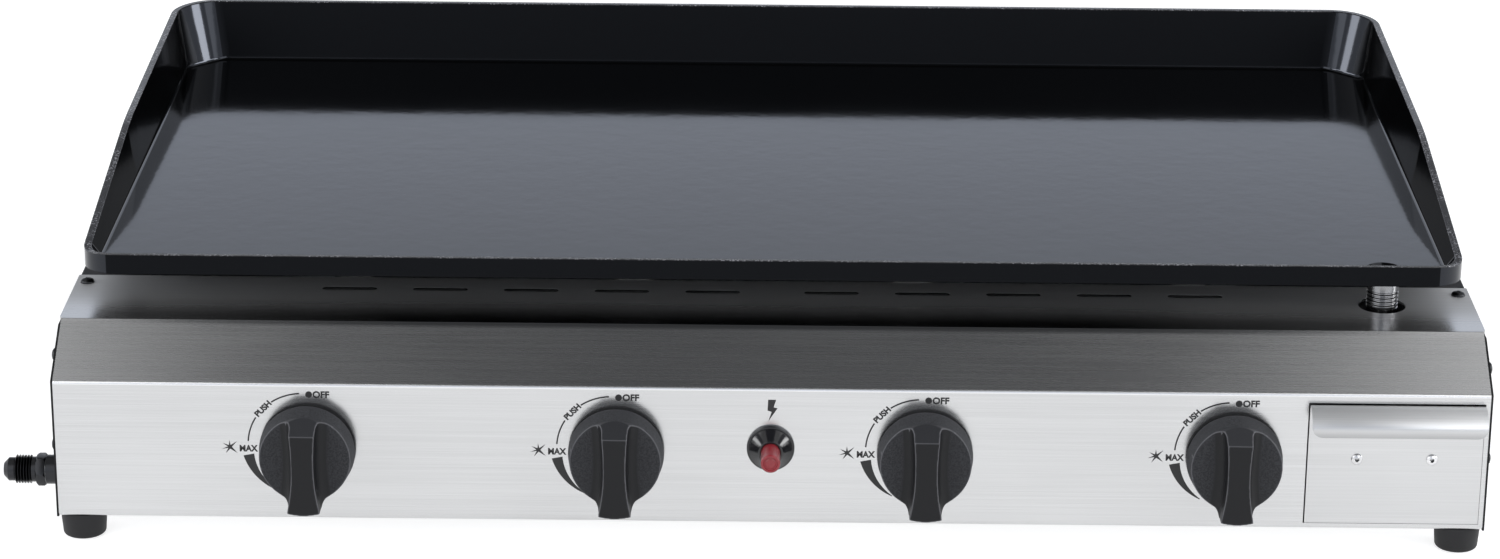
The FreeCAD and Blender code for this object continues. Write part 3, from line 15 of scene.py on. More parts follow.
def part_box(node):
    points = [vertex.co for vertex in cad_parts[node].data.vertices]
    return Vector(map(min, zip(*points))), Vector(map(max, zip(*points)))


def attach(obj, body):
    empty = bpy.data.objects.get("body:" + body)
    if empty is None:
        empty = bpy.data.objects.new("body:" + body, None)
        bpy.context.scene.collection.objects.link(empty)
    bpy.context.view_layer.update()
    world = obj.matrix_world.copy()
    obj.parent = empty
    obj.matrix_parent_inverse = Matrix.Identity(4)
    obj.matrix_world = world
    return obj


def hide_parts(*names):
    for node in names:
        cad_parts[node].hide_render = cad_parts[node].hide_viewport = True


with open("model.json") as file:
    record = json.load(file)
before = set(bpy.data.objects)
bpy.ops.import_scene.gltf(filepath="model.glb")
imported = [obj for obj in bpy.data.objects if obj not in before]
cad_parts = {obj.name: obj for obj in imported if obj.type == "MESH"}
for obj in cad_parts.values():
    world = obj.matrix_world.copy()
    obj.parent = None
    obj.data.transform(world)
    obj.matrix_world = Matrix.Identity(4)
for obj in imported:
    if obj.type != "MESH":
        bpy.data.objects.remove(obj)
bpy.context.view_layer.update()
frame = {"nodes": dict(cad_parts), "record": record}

# %% [markdown]
# All measures below are in millimetres from the middle of the front panel's lower edge on the table: x to the
# right, y to the back, z up. The frame itself is in metres with its zero under the middle of the whole box, so
# `spot` moves a measure over and `measured` brings a place back. Both take their offset from the fascia, which
# is the panel itself, so nothing has to be fitted by eye.

# %% From the panel's measures to the frame
fascia_low, fascia_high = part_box("front_fascia")
PANEL_MIDDLE = Vector(((fascia_low.x + fascia_high.x) / 2, fascia_low.y, 0))
UP, DOWN, TO_FRONT, TO_LEFT, TO_RIGHT = (0, 0, 1), (0, 0, -1), (0, -1, 0), (-1, 0, 0), (1, 0, 0)


def spot(x, y, z):
    return PANEL_MIDDLE + Vector((x, y, z)) / 1000


def measured(place):
    return (place - PANEL_MIDDLE) * 1000


print("panel middle", [round(v, 5) for v in PANEL_MIDDLE])

# %% [markdown]
# The photograph was taken with a long lens from a little above the griddle's front edge. The camera here was
# fitted to the straight edges of the panel and the plate: its place, two turns and a very small roll.

# %% Camera
LENS, SENSOR = 100.8, 36.0
CAMERA_AT = (0.69, -2167.78, 943.9)
YAW, PITCH, ROLL = -0.0059477, 0.3468462, 0.0077707
across = Vector((math.cos(YAW), -math.sin(YAW), 0))
ahead = Vector((math.sin(YAW) * math.cos(PITCH), math.cos(YAW) * math.cos(PITCH), -math.sin(PITCH)))
above = across.cross(ahead)
camera_right = math.cos(ROLL) * across + math.sin(ROLL) * above
camera_up = math.cos(ROLL) * above - math.sin(ROLL) * across
view_camera = bpy.data.objects.new("view_camera", bpy.data.cameras.new("view_camera"))
bpy.context.scene.collection.objects.link(view_camera)
view_camera.data.lens, view_camera.data.sensor_width = LENS, SENSOR
view_camera.data.clip_end = 60
turn = Matrix((camera_right, camera_up, -ahead)).transposed()
view_camera.matrix_world = Matrix.Translation(spot(*CAMERA_AT)) @ turn.to_4x4()
bpy.context.scene.camera = view_camera
bpy.context.scene.view_settings.view_transform = "Standard"
print("camera at", [round(v, 4) for v in view_camera.location])

# %% [markdown]
# Shader maths is easier to read as sums than as wires. A Term is a socket that can be added and multiplied,
# and each sum adds its Math node. `between` and `band` make masks: a smooth step, and a stripe with soft edges.

# %% Sums of sockets


class Term:
    """A value on its way through a material's nodes."""

    def __init__(self, finish, socket):
        self.finish, self.socket = finish, socket

    def maths(self, operation, *values):
        inputs = dict(enumerate(values))
        return self.finish.node("ShaderNodeMath", {"operation": operation}, inputs)

    def __add__(self, other):
        return self.maths("ADD", self, other)

    def __sub__(self, other):
        return self.maths("SUBTRACT", self, other)

    def __rsub__(self, other):
        return self.maths("SUBTRACT", other, self)

    def __mul__(self, other):
        return self.maths("MULTIPLY", self, other)

    __radd__, __rmul__ = __add__, __mul__

    def between(self, low, high):
        """0 up to the low value, 1 from the high one, and a smooth rise between them."""
        settings = {"interpolation_type": "SMOOTHSTEP"}
        return self.finish.node("ShaderNodeMapRange", settings, {0: self, 1: low, 2: high})

    def band(self, low, high, soft):
        """1 from the low value to the high one, and 0 from a soft edge outside them."""
        return self.between(low - soft, low) * self.between(high + soft, high)


print("sums ready")

# %% [markdown]
# A Finish is one material being made. Its `node` method adds any node, with the settings first and then the
# values or links of the inputs. The other methods are short names for what every recipe needs: noise that is
# drawn out along an axis, a mix of two colours, a bump, and the main shader at the end.

# %% The finish kit


class Finish:
    """One material under construction, or a world, which has nodes too."""

    def __init__(self, name, shelf="materials"):
        self.owner = getattr(bpy.data, shelf).new(name)
        self.owner.use_nodes = True
        self.tree = self.owner.node_tree
        self.tree.nodes.clear()
        self.place = self.node("ShaderNodeTexCoord", {}, {}, "Object")

    def node(self, kind, settings, inputs, output=0):
        node = self.tree.nodes.new(kind)
        stops = settings.pop("stops", ())
        for name, value in settings.items():
            setattr(node, name, value)
        while stops and len(node.color_ramp.elements) < len(stops):
            node.color_ramp.elements.new(0.5)
        for k, (position, colour) in enumerate(stops):
            node.color_ramp.elements[k].position = position
            node.color_ramp.elements[k].color = (*colour, 1)
        for name, value in inputs.items():
            if isinstance(value, Term):
                self.tree.links.new(value.socket, node.inputs[name])
            else:
                node.inputs[name].default_value = value
        return None if output is None else Term(self, node.outputs[output])

    def noise(self, stretch, detail=3.0, roughness=0.55):
        """Noise with its own count of waves a metre along x, y and z."""
        drawn = self.node("ShaderNodeVectorMath", {"operation": "MULTIPLY"}, {0: self.place, 1: stretch})
        inputs = {"Vector": drawn, "Scale": 1.0, "Detail": detail, "Roughness": roughness}
        return self.node("ShaderNodeTexNoise", {}, inputs)

    def parts(self, vector):
        """The x, y and z of a vector."""
        split = self.node("ShaderNodeSeparateXYZ", {}, {0: vector})
        return [Term(self, output) for output in split.socket.node.outputs]

    def mix(self, share, first, second):
        """A mix of two colours. The Mix node has its colours at sockets 6 and 7, and the result at 2."""
        inputs = {0: share, 6: (*first, 1) if isinstance(first, tuple) else first,
                  7: (*second, 1) if isinstance(second, tuple) else second}
        return self.node("ShaderNodeMix", {"data_type": "RGBA"}, inputs, 2)

    def bump(self, height, distance, strength=1.0):
        inputs = {"Height": height, "Distance": distance, "Strength": strength}
        return self.node("ShaderNodeBump", {}, inputs)

    def done(self, **inputs):
        """The main shader, with underscores for the spaces in its inputs' names."""
        named = {name.replace("_", " "): value for name, value in inputs.items()}
        for name, value in named.items():
            if isinstance(value, tuple) and len(value) == 3:
                named[name] = (*value, 1)
        shader = self.node("ShaderNodeBsdfPrincipled", {}, named)
        self.node("ShaderNodeOutputMaterial", {}, {"Surface": shader}, None)
        return self.owner


def shades(tone, *shares):
    """A colour made darker or lighter, once for each share."""
    return [tuple(min(v * share, 1.0) for v in tone) for share in shares]


print("finish kit ready")

# %% [markdown]
# The griddle stands on a plain white floor. It is matt paint with a little light of its own, which only the
# camera and reflections see. So it comes out white without more light on the griddle, and it still takes the
# griddle's shadow.

# %% Floor
FLOOR_SIZE, FLOOR_GAP = 24, 0.0004
PAINT_GREY, PAINT_GLOW = 0.62, 0.72
bpy.ops.object.select_all(action="DESELECT")
bpy.ops.mesh.primitive_plane_add(size=FLOOR_SIZE, location=(0, 0, -FLOOR_GAP))
floor = bpy.context.object
floor.name = "studio_floor"
paint = Finish("studio_white")
rays = paint.node("ShaderNodeLightPath", {}, {}).socket.node.outputs
direct, glossy, clear = [Term(paint, rays[f"Is {kind} Ray"]) for kind in ("Camera", "Glossy", "Transmission")]
shown = (direct + glossy + clear).between(0.4, 0.6)
matt = paint.node("ShaderNodeBsdfDiffuse", {}, {"Color": (PAINT_GREY, PAINT_GREY, PAINT_GREY, 1)})
glow = paint.node("ShaderNodeEmission", {}, {"Color": (1, 1, 1, 1), "Strength": shown * PAINT_GLOW})
both = paint.node("ShaderNodeAddShader", {}, {0: matt, 1: glow})
paint.node("ShaderNodeOutputMaterial", {}, {"Surface": both}, None)
floor.data.materials.append(paint.owner)
print("floor", FLOOR_SIZE, "m wide")

# %% [markdown]
# Polished steel and enamel show mostly what is around them, so the room is part of their looks. It is a pale wall
# all round that turns a little blue at the height where the plate mirrors it, and gets dark towards the ceiling.
# A ramp over the height of the view gives that, and it is softer than any wall one could build.

# %% Room
ROOM_LIGHT = 1.2
ROOM = ((0.0, 0.83, 1), (0.22, 0.83, 1), (0.28, 0.92, 2.4), (0.3, 0.85, 2.4), (0.335, 0.67, 2),
        (0.43, 0.55, 1.5), (0.6, 0.27, 1), (0.78, 0.07, 1), (1.0, 0.04, 1))
room = Finish("studio_room", "worlds")
bpy.context.scene.world = room.owner
upward = room.parts(room.node("ShaderNodeTexCoord", {}, {}, "Generated"))[2]
stops = [(height, ((1 - 0.05 * blue) * grey, (1 - 0.02 * blue) * grey, (1 + 0.04 * blue) * grey))
         for height, grey, blue in ROOM]
wall = room.node("ShaderNodeValToRGB", {"stops": stops}, {0: upward})
light = room.node("ShaderNodeBackground", {}, {"Color": wall, "Strength": ROOM_LIGHT})
room.node("ShaderNodeOutputWorld", {}, {"Surface": light}, None)
print("room with", len(ROOM), "shades")

# %% [markdown]
# Six lamps light the griddle, three on each side: a large softbox in front, one above the side, and a narrow
# strip low beside it, which draws the upright lights in the plate's back corners. The upper one and the strip
# are a little stronger on the right, where the photograph is lighter.

# %% Lamps


def softbox(name, place, target, width, height, power):
    lamp = bpy.data.lights.new(name, "AREA")
    lamp.shape, lamp.size, lamp.size_y, lamp.energy = "RECTANGLE", width, height, power
    holder = bpy.data.objects.new(name, lamp)
    bpy.context.scene.collection.objects.link(holder)
    aim = (Vector(target) - Vector(place)).to_track_quat("-Z", "Y")
    holder.matrix_world = Matrix.Translation(Vector(place)) @ aim.to_matrix().to_4x4()


for side in (-1, 1):
    softbox(f"softbox_front_{side}", (side * 1.7, -1.9, 1.6), (0, 0, 0.1), width=2.4, height=2.2, power=26)
    softbox(f"softbox_top_{side}", (side * 1.25, 0.1, 1.9), (side * 1.25, 0.1, 0), width=1.2, height=2.0,
            power=6.3 + 0.7 * side)
    softbox(f"strip_{side}", (side * 1.9, -0.25, 0.58), (0, 0.2, 0.15), width=0.42, height=0.9,
            power=11 + 2 * side)

# %% [markdown]
# Brushed stainless steel is a mirror with thousands of fine scratches along one line, here along the panel.
# Noise that is drawn out along x stands for them: it changes the grey a little, the roughness a little more,
# and as a bump it spreads every reflection up and down, as real scratches do. Where the sheet was worked or used
# its finish changes, so masks by place follow, and three of them paint light and shade into the colour. The fold
# over the face gets a painted highlight, a bright line. The face and the open part of the deck are smoother than
# the slope between them. Towards the plate and its ends the deck is dull from the heat, and the walls of its vent
# slots get painted shade, near black. The drawer's front has a duller roll and painted shade on its lip.

# %% Stainless steel
STEEL_TONE, SCRATCH, CLOUD = (0.56, 0.563, 0.567), 0.000012, 0.05
# Painted tones: a highlight along the fold, shade on the drawer's lip, and shade in the walls of the vent slots.
FOLD_HIGHLIGHT, SHADED, SLOT_SHADE = (0.92, 0.92, 0.93), (0.2, 0.2, 0.205), (0.004, 0.004, 0.004)
# Heights and widths are in metres, as Object coordinates give them.
FACE_TOP, FOLD, DECK, DECK_TOP, TO_ENDS = 0.095, (0.0949, 0.0957), (0.117, 0.119), 0.1194, (0.18, 0.41)
# Depths are in millimetres behind the panel's face.
VENT, TO_PLATE, LIP_EDGE = (88.8, 94.4), (42, 100), (-13.2, -14.6)


def depths(near, far):
    """Two distances behind the panel's face, as Object coordinates give them."""
    return PANEL_MIDDLE.y + near / 1000, PANEL_MIDDLE.y + far / 1000


def brushed(name, roughness, roll=None):
    """Steel scratched along x. A roll, from its lip to its top, is given for the drawer's front."""
    steel = Finish(name)
    hair = steel.noise((9, 2300, 2300), 4.0, 0.6)
    streak = steel.noise((3, 260, 260), 3.0, 0.55)
    patch = steel.noise((7, 13, 13), 2.0, 0.5)
    shade = hair * 0.55 + streak * 0.15 + patch * 0.3
    colour = steel.mix(shade.between(0.32, 0.68), *shades(STEEL_TONE, 0.93, 1.06))
    x, y, z = steel.parts(steel.place)
    # Painted highlight: a bright line along the fold over the face.
    colour = steel.mix(z.band(*FOLD, 0.0006) * 0.6, colour, FOLD_HIGHLIGHT)
    level = z.between(*DECK)
    inward = y.between(*depths(*TO_PLATE))
    outward = x.maths("ABSOLUTE", x).between(*TO_ENDS)
    dull = level * (inward * 0.16 + outward * (inward * 0.12 + 0.07))
    if roll:
        # Painted shade on the lower part of the drawer's lip.
        lip = y.between(*depths(*LIP_EDGE)) * z.between(roll[0] + 0.006, roll[0])
        colour = steel.mix(lip * 0.45, colour, SHADED)
        dull = dull + z.between(roll[1] - 0.008, roll[1] - 0.002) * 0.22
    open_deck = level * (1 - inward)
    rough = (hair * 0.10 + patch * CLOUD) + (dull - open_deck * 0.14) + (roughness - 0.05 - CLOUD / 2)
    if not roll:
        rough = rough - z.between(FACE_TOP + 0.002, FACE_TOP) * 0.08
    # Painted shade: the walls of the vent slots are made near black.
    slot_shade = y.band(*depths(*VENT), 0.0002) * level * z.between(DECK_TOP + 0.00005, DECK_TOP)
    return steel.done(Base_Color=steel.mix(slot_shade, colour, SLOT_SHADE), Metallic=level * 0.03 - dull + 0.97,
                      Roughness=rough, Normal=steel.bump(hair * 0.85 + streak * 0.15, SCRATCH))


finishes = {"stainless": brushed("brushed_stainless", 0.27),
            "drawer_steel": brushed("brushed_drawer", 0.3, roll=(0.076, 0.090))}
print("made", ", ".join(finish.name for finish in finishes.values()))

# %% [markdown]
# The plate wears black enamel: glass melted onto steel. It is nearly black in itself, and what one sees is the
# room in its skin. The skin isn't flat, it has the faint waves of a glaze, so reflections get a soft, slightly
# wavy edge. A few pale specks and a change of gloss from place to place keep it from looking like a mirror.
# The floor and the back corners have the full gloss. The side walls, the back wall and the outside get less
# shine, so that they stay as dark as on the real one. At the rim's edge the glaze is thin, with pale pinholes and
# chips, and these pale specks also paint the rim's highlight line.

# %% Black enamel


def enamel(name, roughness, shine):
    glaze = Finish(name)
    wave = glaze.noise((95, 95, 95), 2.0, 0.45)
    pore = glaze.noise((1300, 1300, 1300), 2.0, 0.5)
    haze = glaze.noise((9, 9, 9), 3.0, 0.6)
    speck = pore.between(0.68, 0.76)
    colour = glaze.mix(speck * 0.5, (0.0016, 0.0017, 0.0019), (0.012, 0.013, 0.015))
    rough = haze * 0.07 + (pore * 0.03 + (roughness - 0.05))
    relief = glaze.bump(wave * 0.95 + pore * 0.05, 0.00009, 0.42)
    return glaze.done(Base_Color=colour, Roughness=rough, Normal=relief, Specular_IOR_Level=shine,
                      Specular_Tint=(0.80, 0.86, 1.0))


def chips_and_highlight(name):
    edge = Finish(name)
    pin = edge.noise((800, 800, 800), 3.0, 0.6)
    run = edge.noise((60, 60, 60), 2.0, 0.5)
    # Pale chips along the rim's edge, partly real wear and partly a painted highlight line.
    pale = pin.between(0.5, 0.66) * run.between(0.35, 0.6)
    colour = edge.mix(pale, (0.012, 0.012, 0.014), (0.26, 0.26, 0.28))
    return edge.done(Base_Color=colour, Roughness=pin * 0.2 + 0.12, Normal=edge.bump(pin, 0.00012, 0.7),
                     Specular_IOR_Level=0.5)


finishes["enamel"] = enamel("black_enamel", 0.08, 0.44)
finishes["enamel_outside"] = enamel("black_enamel_outside", 0.2, 0.1)
finishes["enamel_wall"] = enamel("black_enamel_wall", 0.12, 0.012)
finishes["enamel_back"] = enamel("black_enamel_back", 0.34, 0.14)
finishes["enamel_edge"] = chips_and_highlight("enamel_chips_and_highlight")
print("made", ", ".join(finish.name for slot, finish in finishes.items() if "enamel" in slot))

# %% [markdown]
# Smooth plastic, rubber, powder coat and ceramic are dull skins with a fine grain, and one recipe serves them
# all. Each row names what differs: tone, roughness, how fine and how deep the grain is, how far the shade
# changes, and the shine.

# %% Dull skins


def skin(name, tone, roughness, grain, depth, spread=0.18, shine=0.5):
    coat = Finish(name)
    fine = coat.noise((grain, grain, grain), 2.0, 0.5)
    cloud = coat.noise((35, 35, 35), 3.0, 0.55)
    colour = coat.mix((fine * 0.6 + cloud * 0.4).between(0.3, 0.7), *shades(tone, 1 - spread, 1 + spread))
    rough = fine * 0.12 + cloud * 0.08 + (roughness - 0.1)
    return coat.done(Base_Color=colour, Roughness=rough, Normal=coat.bump(fine, depth),
                     Specular_IOR_Level=shine)


SKINS = (("igniter_plastic", "igniter_plastic", (0.010, 0.010, 0.012), 0.14, 1800, 0.000003),
         ("button_red", "button_red", (0.27, 0.022, 0.030), 0.22, 1800, 0.000004),
         ("black_panel", "black_powder_coat", (0.008, 0.008, 0.009), 0.55, 1500, 0.00004, 0.18, 0.2),
         ("rubber", "foot_rubber", (0.016, 0.016, 0.017), 0.6, 1700, 0.00004, 0.18, 0.3),
         ("ceramic", "white_ceramic", (0.72, 0.70, 0.65), 0.3, 900, 0.00001, 0.06),
         ("panel_ink", "panel_ink", (0.010, 0.010, 0.011), 0.5, 1500, 0.000004))
for slot, *recipe in SKINS:
    finishes[slot] = skin(*recipe)
print("made", len(SKINS), "skins")

# %% [markdown]
# Plated, cast and turned metals share a recipe too: a metal with its own tone, a cloudy change of shade and of
# gloss, and a grain. Bare steel differs from zinc or brass mostly in its tone, so a table is enough here.

# %% Plain metals


def metal(name, tone, roughness, grain, depth, spread=0.15):
    plate = Finish(name)
    fine = plate.noise((grain, grain, grain), 3.0, 0.6)
    cloud = plate.noise((28, 28, 28), 4.0, 0.6)
    colour = plate.mix((fine * 0.35 + cloud * 0.65).between(0.3, 0.7), *shades(tone, 1 - spread, 1 + spread))
    rough = fine * 0.1 + cloud * 0.14 + (roughness - 0.12)
    return plate.done(Base_Color=colour, Metallic=1.0, Roughness=rough, Normal=plate.bump(fine, depth))


METALS = (("black_screw", "black_zinc", (0.035, 0.036, 0.038), 0.36, 1400, 0.00001),
          ("black_fitting", "black_oxide", (0.040, 0.041, 0.044), 0.34, 1100, 0.00002),
          ("zinc_sheet", "zinc_plate", (0.50, 0.51, 0.52), 0.42, 240, 0.00001, 0.12),
          ("zinc_screw", "zinc_screw", (0.56, 0.57, 0.58), 0.32, 900, 0.00001),
          ("burner_steel", "burner_steel", (0.42, 0.40, 0.37), 0.4, 500, 0.00002),
          ("pipe_steel", "pipe_steel", (0.44, 0.45, 0.46), 0.36, 600, 0.00002),
          ("valve_alloy", "cast_alloy", (0.60, 0.60, 0.60), 0.45, 1000, 0.00006),
          ("brass", "turned_brass", (0.66, 0.47, 0.20), 0.28, 900, 0.00001),
          ("stem_steel", "bright_steel", (0.55, 0.55, 0.56), 0.25, 900, 0.00001),
          ("electrode_wire", "electrode_wire", (0.40, 0.39, 0.38), 0.38, 900, 0.00001),
          # The cut edge finish is dark, as painted shade along the drawer's lip.
          ("cut_edge", "cut_edge_steel", (0.10, 0.10, 0.105), 0.45, 900, 0.00001),
          ("spout_steel", "spout_steel", (0.26, 0.26, 0.265), 0.2, 900, 0.000006),
          ("rivet_alloy", "rivet_alloy", (0.66, 0.66, 0.665), 0.3, 1200, 0.00001, 0.1))
for slot, *recipe in METALS:
    finishes[slot] = metal(*recipe)
print("made", len(METALS), "metals")

# %% [markdown]
# The knobs are black plastic with two looks in one moulding: a satin grip, and a skirt behind it with a coarser
# and paler grain. Their edges are painted pale as highlights, and faces that look up take the skirt's paler tone
# as painted light from above. Where the skirt starts is a place along y, the painted top light follows the
# normal, and the painted edge highlights come from Pointiness, which tells how sharply a surface bends.

# %% Knob plastic
SKIRT_FROM = PANEL_MIDDLE.y - 0.0170


def moulded(name, tone, skirt_tone, edge_highlight_tone):
    knob = Finish(name)
    _, y, _ = knob.parts(knob.place)
    skirt = y.between(SKIRT_FROM, SKIRT_FROM + 0.0006)
    fine = knob.noise((2600, 2600, 2600), 2.0, 0.5)
    coarse = knob.noise((1500, 1500, 1500), 2.0, 0.6)
    # Painted highlights: sharp edges, found by Pointiness, are made pale.
    edge = knob.node("ShaderNodeNewGeometry", {}, {}, "Pointiness").between(0.505, 0.54)
    upward = knob.parts(knob.node("ShaderNodeTexCoord", {}, {}, "Normal"))[2].between(0.3, 0.8)
    grip = knob.mix(fine.between(0.3, 0.7), *shades(tone, 0.85, 1.15))
    grained = knob.mix(coarse.between(0.35, 0.65), *shades(skirt_tone, 0.6, 1.4))
    # Painted light from above: faces that look up take the skirt's paler tone.
    lit_from_above = knob.mix(upward * 0.7, grip, skirt_tone)
    colour = knob.mix(edge * 0.7, knob.mix(skirt, lit_from_above, grained), edge_highlight_tone)
    rough = skirt * 0.2 + (fine * 0.12 + 0.4)
    return knob.done(Base_Color=colour, Roughness=rough, Specular_IOR_Level=0.24,
                     Normal=knob.bump(fine + skirt * coarse * 2.0, 0.00003))


# The last tone is the painted highlight on the edges.
finishes["knob_plastic"] = moulded("knob_plastic", (0.0065, 0.0068, 0.008), (0.036, 0.037, 0.041),
                                   (0.14, 0.14, 0.15))
print(len(finishes), "finishes in all")

# %% [markdown]
# Most CAD pieces keep their shape and only get their finish. The record names a material slot for each piece,
# and the finishes above carry the slots' names, so one loop paints them all.

# %% Paint the CAD pieces
for row in frame["record"]["subparts"]:
    painted = frame["nodes"][row["node"]]
    painted.data.materials.clear()
    painted.data.materials.append(finishes[row["material_slot"]])
print("painted", len(frame["nodes"]), "CAD pieces")

# %% [markdown]
# Every new piece starts from one of Blender's primitives and is shaped in edit mode, as one would by hand.
# `begin` adds a primitive with its place in its mesh and opens it. `pick` selects corners, edges or faces by
# where they are, because a script can't point at them with a mouse. `shift` moves what is selected, `pull` pulls
# it out into new faces, and `close_up` joins corners that lie on each other and turns all faces outwards.

# %% Starting and picking


def leave_edit_mode():
    if bpy.context.mode != "OBJECT":
        bpy.ops.object.mode_set(mode="OBJECT")


def begin(primitive, at, stretch=None, **settings):
    leave_edit_mode()
    bpy.ops.object.select_all(action="DESELECT")
    primitive(location=spot(*at), **settings)
    piece = bpy.context.object
    if stretch:
        piece.scale = Vector(stretch) / 1000
    bpy.ops.object.transform_apply(location=True, rotation=True, scale=True)
    bpy.ops.object.mode_set(mode="EDIT")
    return piece


def middle(item):
    """Middle of a corner, edge or face, in millimetres from the panel's middle."""
    corners = [item] if isinstance(item, bmesh.types.BMVert) else item.verts
    return measured(sum((corner.co for corner in corners), Vector()) / len(corners))


def pick(kind, wanted):
    bpy.ops.mesh.select_mode(type={"verts": "VERT", "edges": "EDGE", "faces": "FACE"}[kind])
    bpy.ops.mesh.select_all(action="DESELECT")
    mesh = bpy.context.edit_object.data
    form = bmesh.from_edit_mesh(mesh)
    form.normal_update()
    for item in getattr(form, kind):
        item.select_set(bool(wanted(item)))
    form.select_flush_mode()
    bmesh.update_edit_mesh(mesh)


def shift(x, y, z):
    bpy.ops.transform.translate(value=Vector((x, y, z)) / 1000)


def pull(x, y, z):
    bpy.ops.mesh.extrude_region_move(TRANSFORM_OT_translate={"value": Vector((x, y, z)) / 1000})


def slice_all(at, across):
    """Cuts the whole piece in edit mode along a plane, and keeps both sides."""
    bpy.ops.mesh.select_all(action="SELECT")
    bpy.ops.mesh.bisect(plane_co=spot(*at), plane_no=across)


def close_up():
    bpy.ops.mesh.select_all(action="SELECT")
    bpy.ops.mesh.remove_doubles(threshold=0.000002)
    bpy.ops.mesh.normals_make_consistent(inside=False)


print("edit mode helpers ready")

# %% [markdown]
# The next helpers work on whole pieces. `change` adds a modifier and applies it at once. `carve` does so with a
# Boolean and throws the cutter away, and `round_edges` with a Bevel. `twin` makes a copy with its own mesh, and
# `gather` joins pieces into one. `settle` closes a piece: smooth shading, name, finish, the body that it moves
# with and the CAD pieces that it stands for.


def change(piece, kind, **settings):
    leave_edit_mode()
    bpy.context.view_layer.objects.active = piece
    step = piece.modifiers.new(kind.lower(), kind)
    for name, value in settings.items():
        setattr(step, name, value)
    bpy.ops.object.modifier_apply(modifier=step.name)


def carve(piece, tool, operation):
    change(piece, "BOOLEAN", object=tool, operation=operation, solver="EXACT")
    bpy.data.objects.remove(tool)


def round_edges(piece, width, segments, sharper_than):
    change(piece, "BEVEL", width=width / 1000, segments=segments, limit_method="ANGLE",
           angle_limit=math.radians(sharper_than))


def twin(piece, x, y, z):
    copy = piece.copy()
    copy.data = piece.data.copy()
    bpy.context.scene.collection.objects.link(copy)
    copy.data.transform(Matrix.Translation(Vector((x, y, z)) / 1000))
    return copy


def gather(pieces):
    bpy.ops.object.select_all(action="DESELECT")
    for piece in pieces:
        piece.select_set(True)
    bpy.context.view_layer.objects.active = pieces[0]
    bpy.ops.object.join()
    return pieces[0]


def settle(piece, name, slot, body, *nodes, angle=35):
    leave_edit_mode()
    bpy.ops.object.select_all(action="DESELECT")
    piece.select_set(True)
    bpy.context.view_layer.objects.active = piece
    bpy.ops.object.shade_smooth_by_angle(angle=math.radians(angle))
    piece.name = piece.data.name = name
    piece.data.materials.clear()
    piece.data.materials.append(finishes[slot])
    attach(piece, body)
    if nodes:
        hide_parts(*nodes)
    print(name, "has", len(piece.data.polygons), "faces")


# %% [markdown]
# The plate is a pan: a thick flat floor, a small bend all round, and a wall. It is made here as a machinist would
# take it out of a block: the outline gets its round corners, is pulled up into a block, and the inside is let
# down to the floor in small rings so that the bend comes out round. The block is taller than the pan for now.

# %% The pan's block and its hollow
PAN_HALF, PAN_FRONT, PAN_BACK, PAN_LOW = 391, 60, 475, 138
PAN_FLOOR, PAN_BEND, PAN_GAUGE, BLOCK_TOP = 142, 2, 4, 190
PAN_MIDDLE, BEND_STEPS, CORNER_STEPS = (PAN_FRONT + PAN_BACK) / 2, 6, 16
pan = begin(bpy.ops.mesh.primitive_plane_add, (0, PAN_MIDDLE, PAN_LOW),
            (2 * PAN_HALF, PAN_BACK - PAN_FRONT, 1000), size=1)
for row, radius, steps in ((PAN_FRONT, 20, 12), (PAN_BACK, 30, CORNER_STEPS)):
    pick("verts", lambda corner: abs(middle(corner).y - row) < 1)
    bpy.ops.mesh.bevel(offset=radius / 1000, segments=steps, affect="VERTICES", profile=0.5)
bpy.ops.mesh.select_all(action="SELECT")
pull(0, 0, BLOCK_TOP - PAN_LOW)
close_up()
pick("faces", lambda face: face.normal.z > 0.9)
bpy.ops.mesh.inset(thickness=PAN_GAUGE / 1000)
pull(0, 0, PAN_FLOOR + PAN_BEND - BLOCK_TOP)
for step in range(1, BEND_STEPS + 1):
    last, now = [math.pi / 2 * k / BEND_STEPS for k in (step - 1, step)]
    bpy.ops.mesh.inset(thickness=PAN_BEND / 1000 * (math.cos(last) - math.cos(now)),
                       depth=-PAN_BEND / 1000 * (math.sin(now) - math.sin(last)))
print("hollowed block has", len(bmesh.from_edit_mesh(pan.data).faces), "faces")

# %% [markdown]
# The wall isn't quite upright. Its inner side leans outwards at both sides and the back, and flares a little
# more in the two back corners, which is where the plate shows its upright lights. The foot of the wall is moved
# inwards for that, and in the corners each column of points is moved along its own ray.

# %% The pan's leaning walls and flared back corners
LEAN, FLARE, CORNER = 4.5, 5, 26


def at_foot(corner):
    return PAN_LOW + 1 < middle(corner).z < PAN_FLOOR + PAN_BEND + 1


for side in (-1, 1):
    pick("verts", lambda corner: at_foot(corner) and side * middle(corner).x > 0)
    shift(-side * LEAN, 0, 0)
pick("verts", lambda corner: at_foot(corner) and middle(corner).y > PAN_MIDDLE)
shift(0, -LEAN, 0)
inside = PAN_GAUGE + CORNER + LEAN
for side in (-1, 1):
    centre = Vector((side * (PAN_HALF - inside), PAN_BACK - inside))
    for step in range(1, CORNER_STEPS):
        heading = math.pi / 2 * step / CORNER_STEPS

        def on_ray(corner):
            at = middle(corner)
            out = Vector((side * (at.x - centre.x), at.y - centre.y))
            return at_foot(corner) and min(out) > 0.01 and abs(math.atan2(out.y, out.x) - heading) < 0.04

        pick("verts", on_ray)
        flare = FLARE * math.sin(2 * heading) ** 1.5
        shift(-side * flare * math.cos(heading), -flare * math.sin(heading), 0)
print("walls lean by", LEAN, "mm, corners flare by", FLARE, "mm more")

# %% [markdown]
# The upper edge of the wall is low in front, dips at the front corners, climbs steeply to a rounded knee and runs
# on to the back. So the block's wall is sliced where that line bends, and each row of points on its top is
# pushed down to the line's height.

# %% The pan's rim line
DIP, KNEE, KNEE_RUN = 70, 238, 16
RIM = ((PAN_FRONT, 150), (DIP, 148.5), (KNEE, 173), (PAN_BACK, 180))


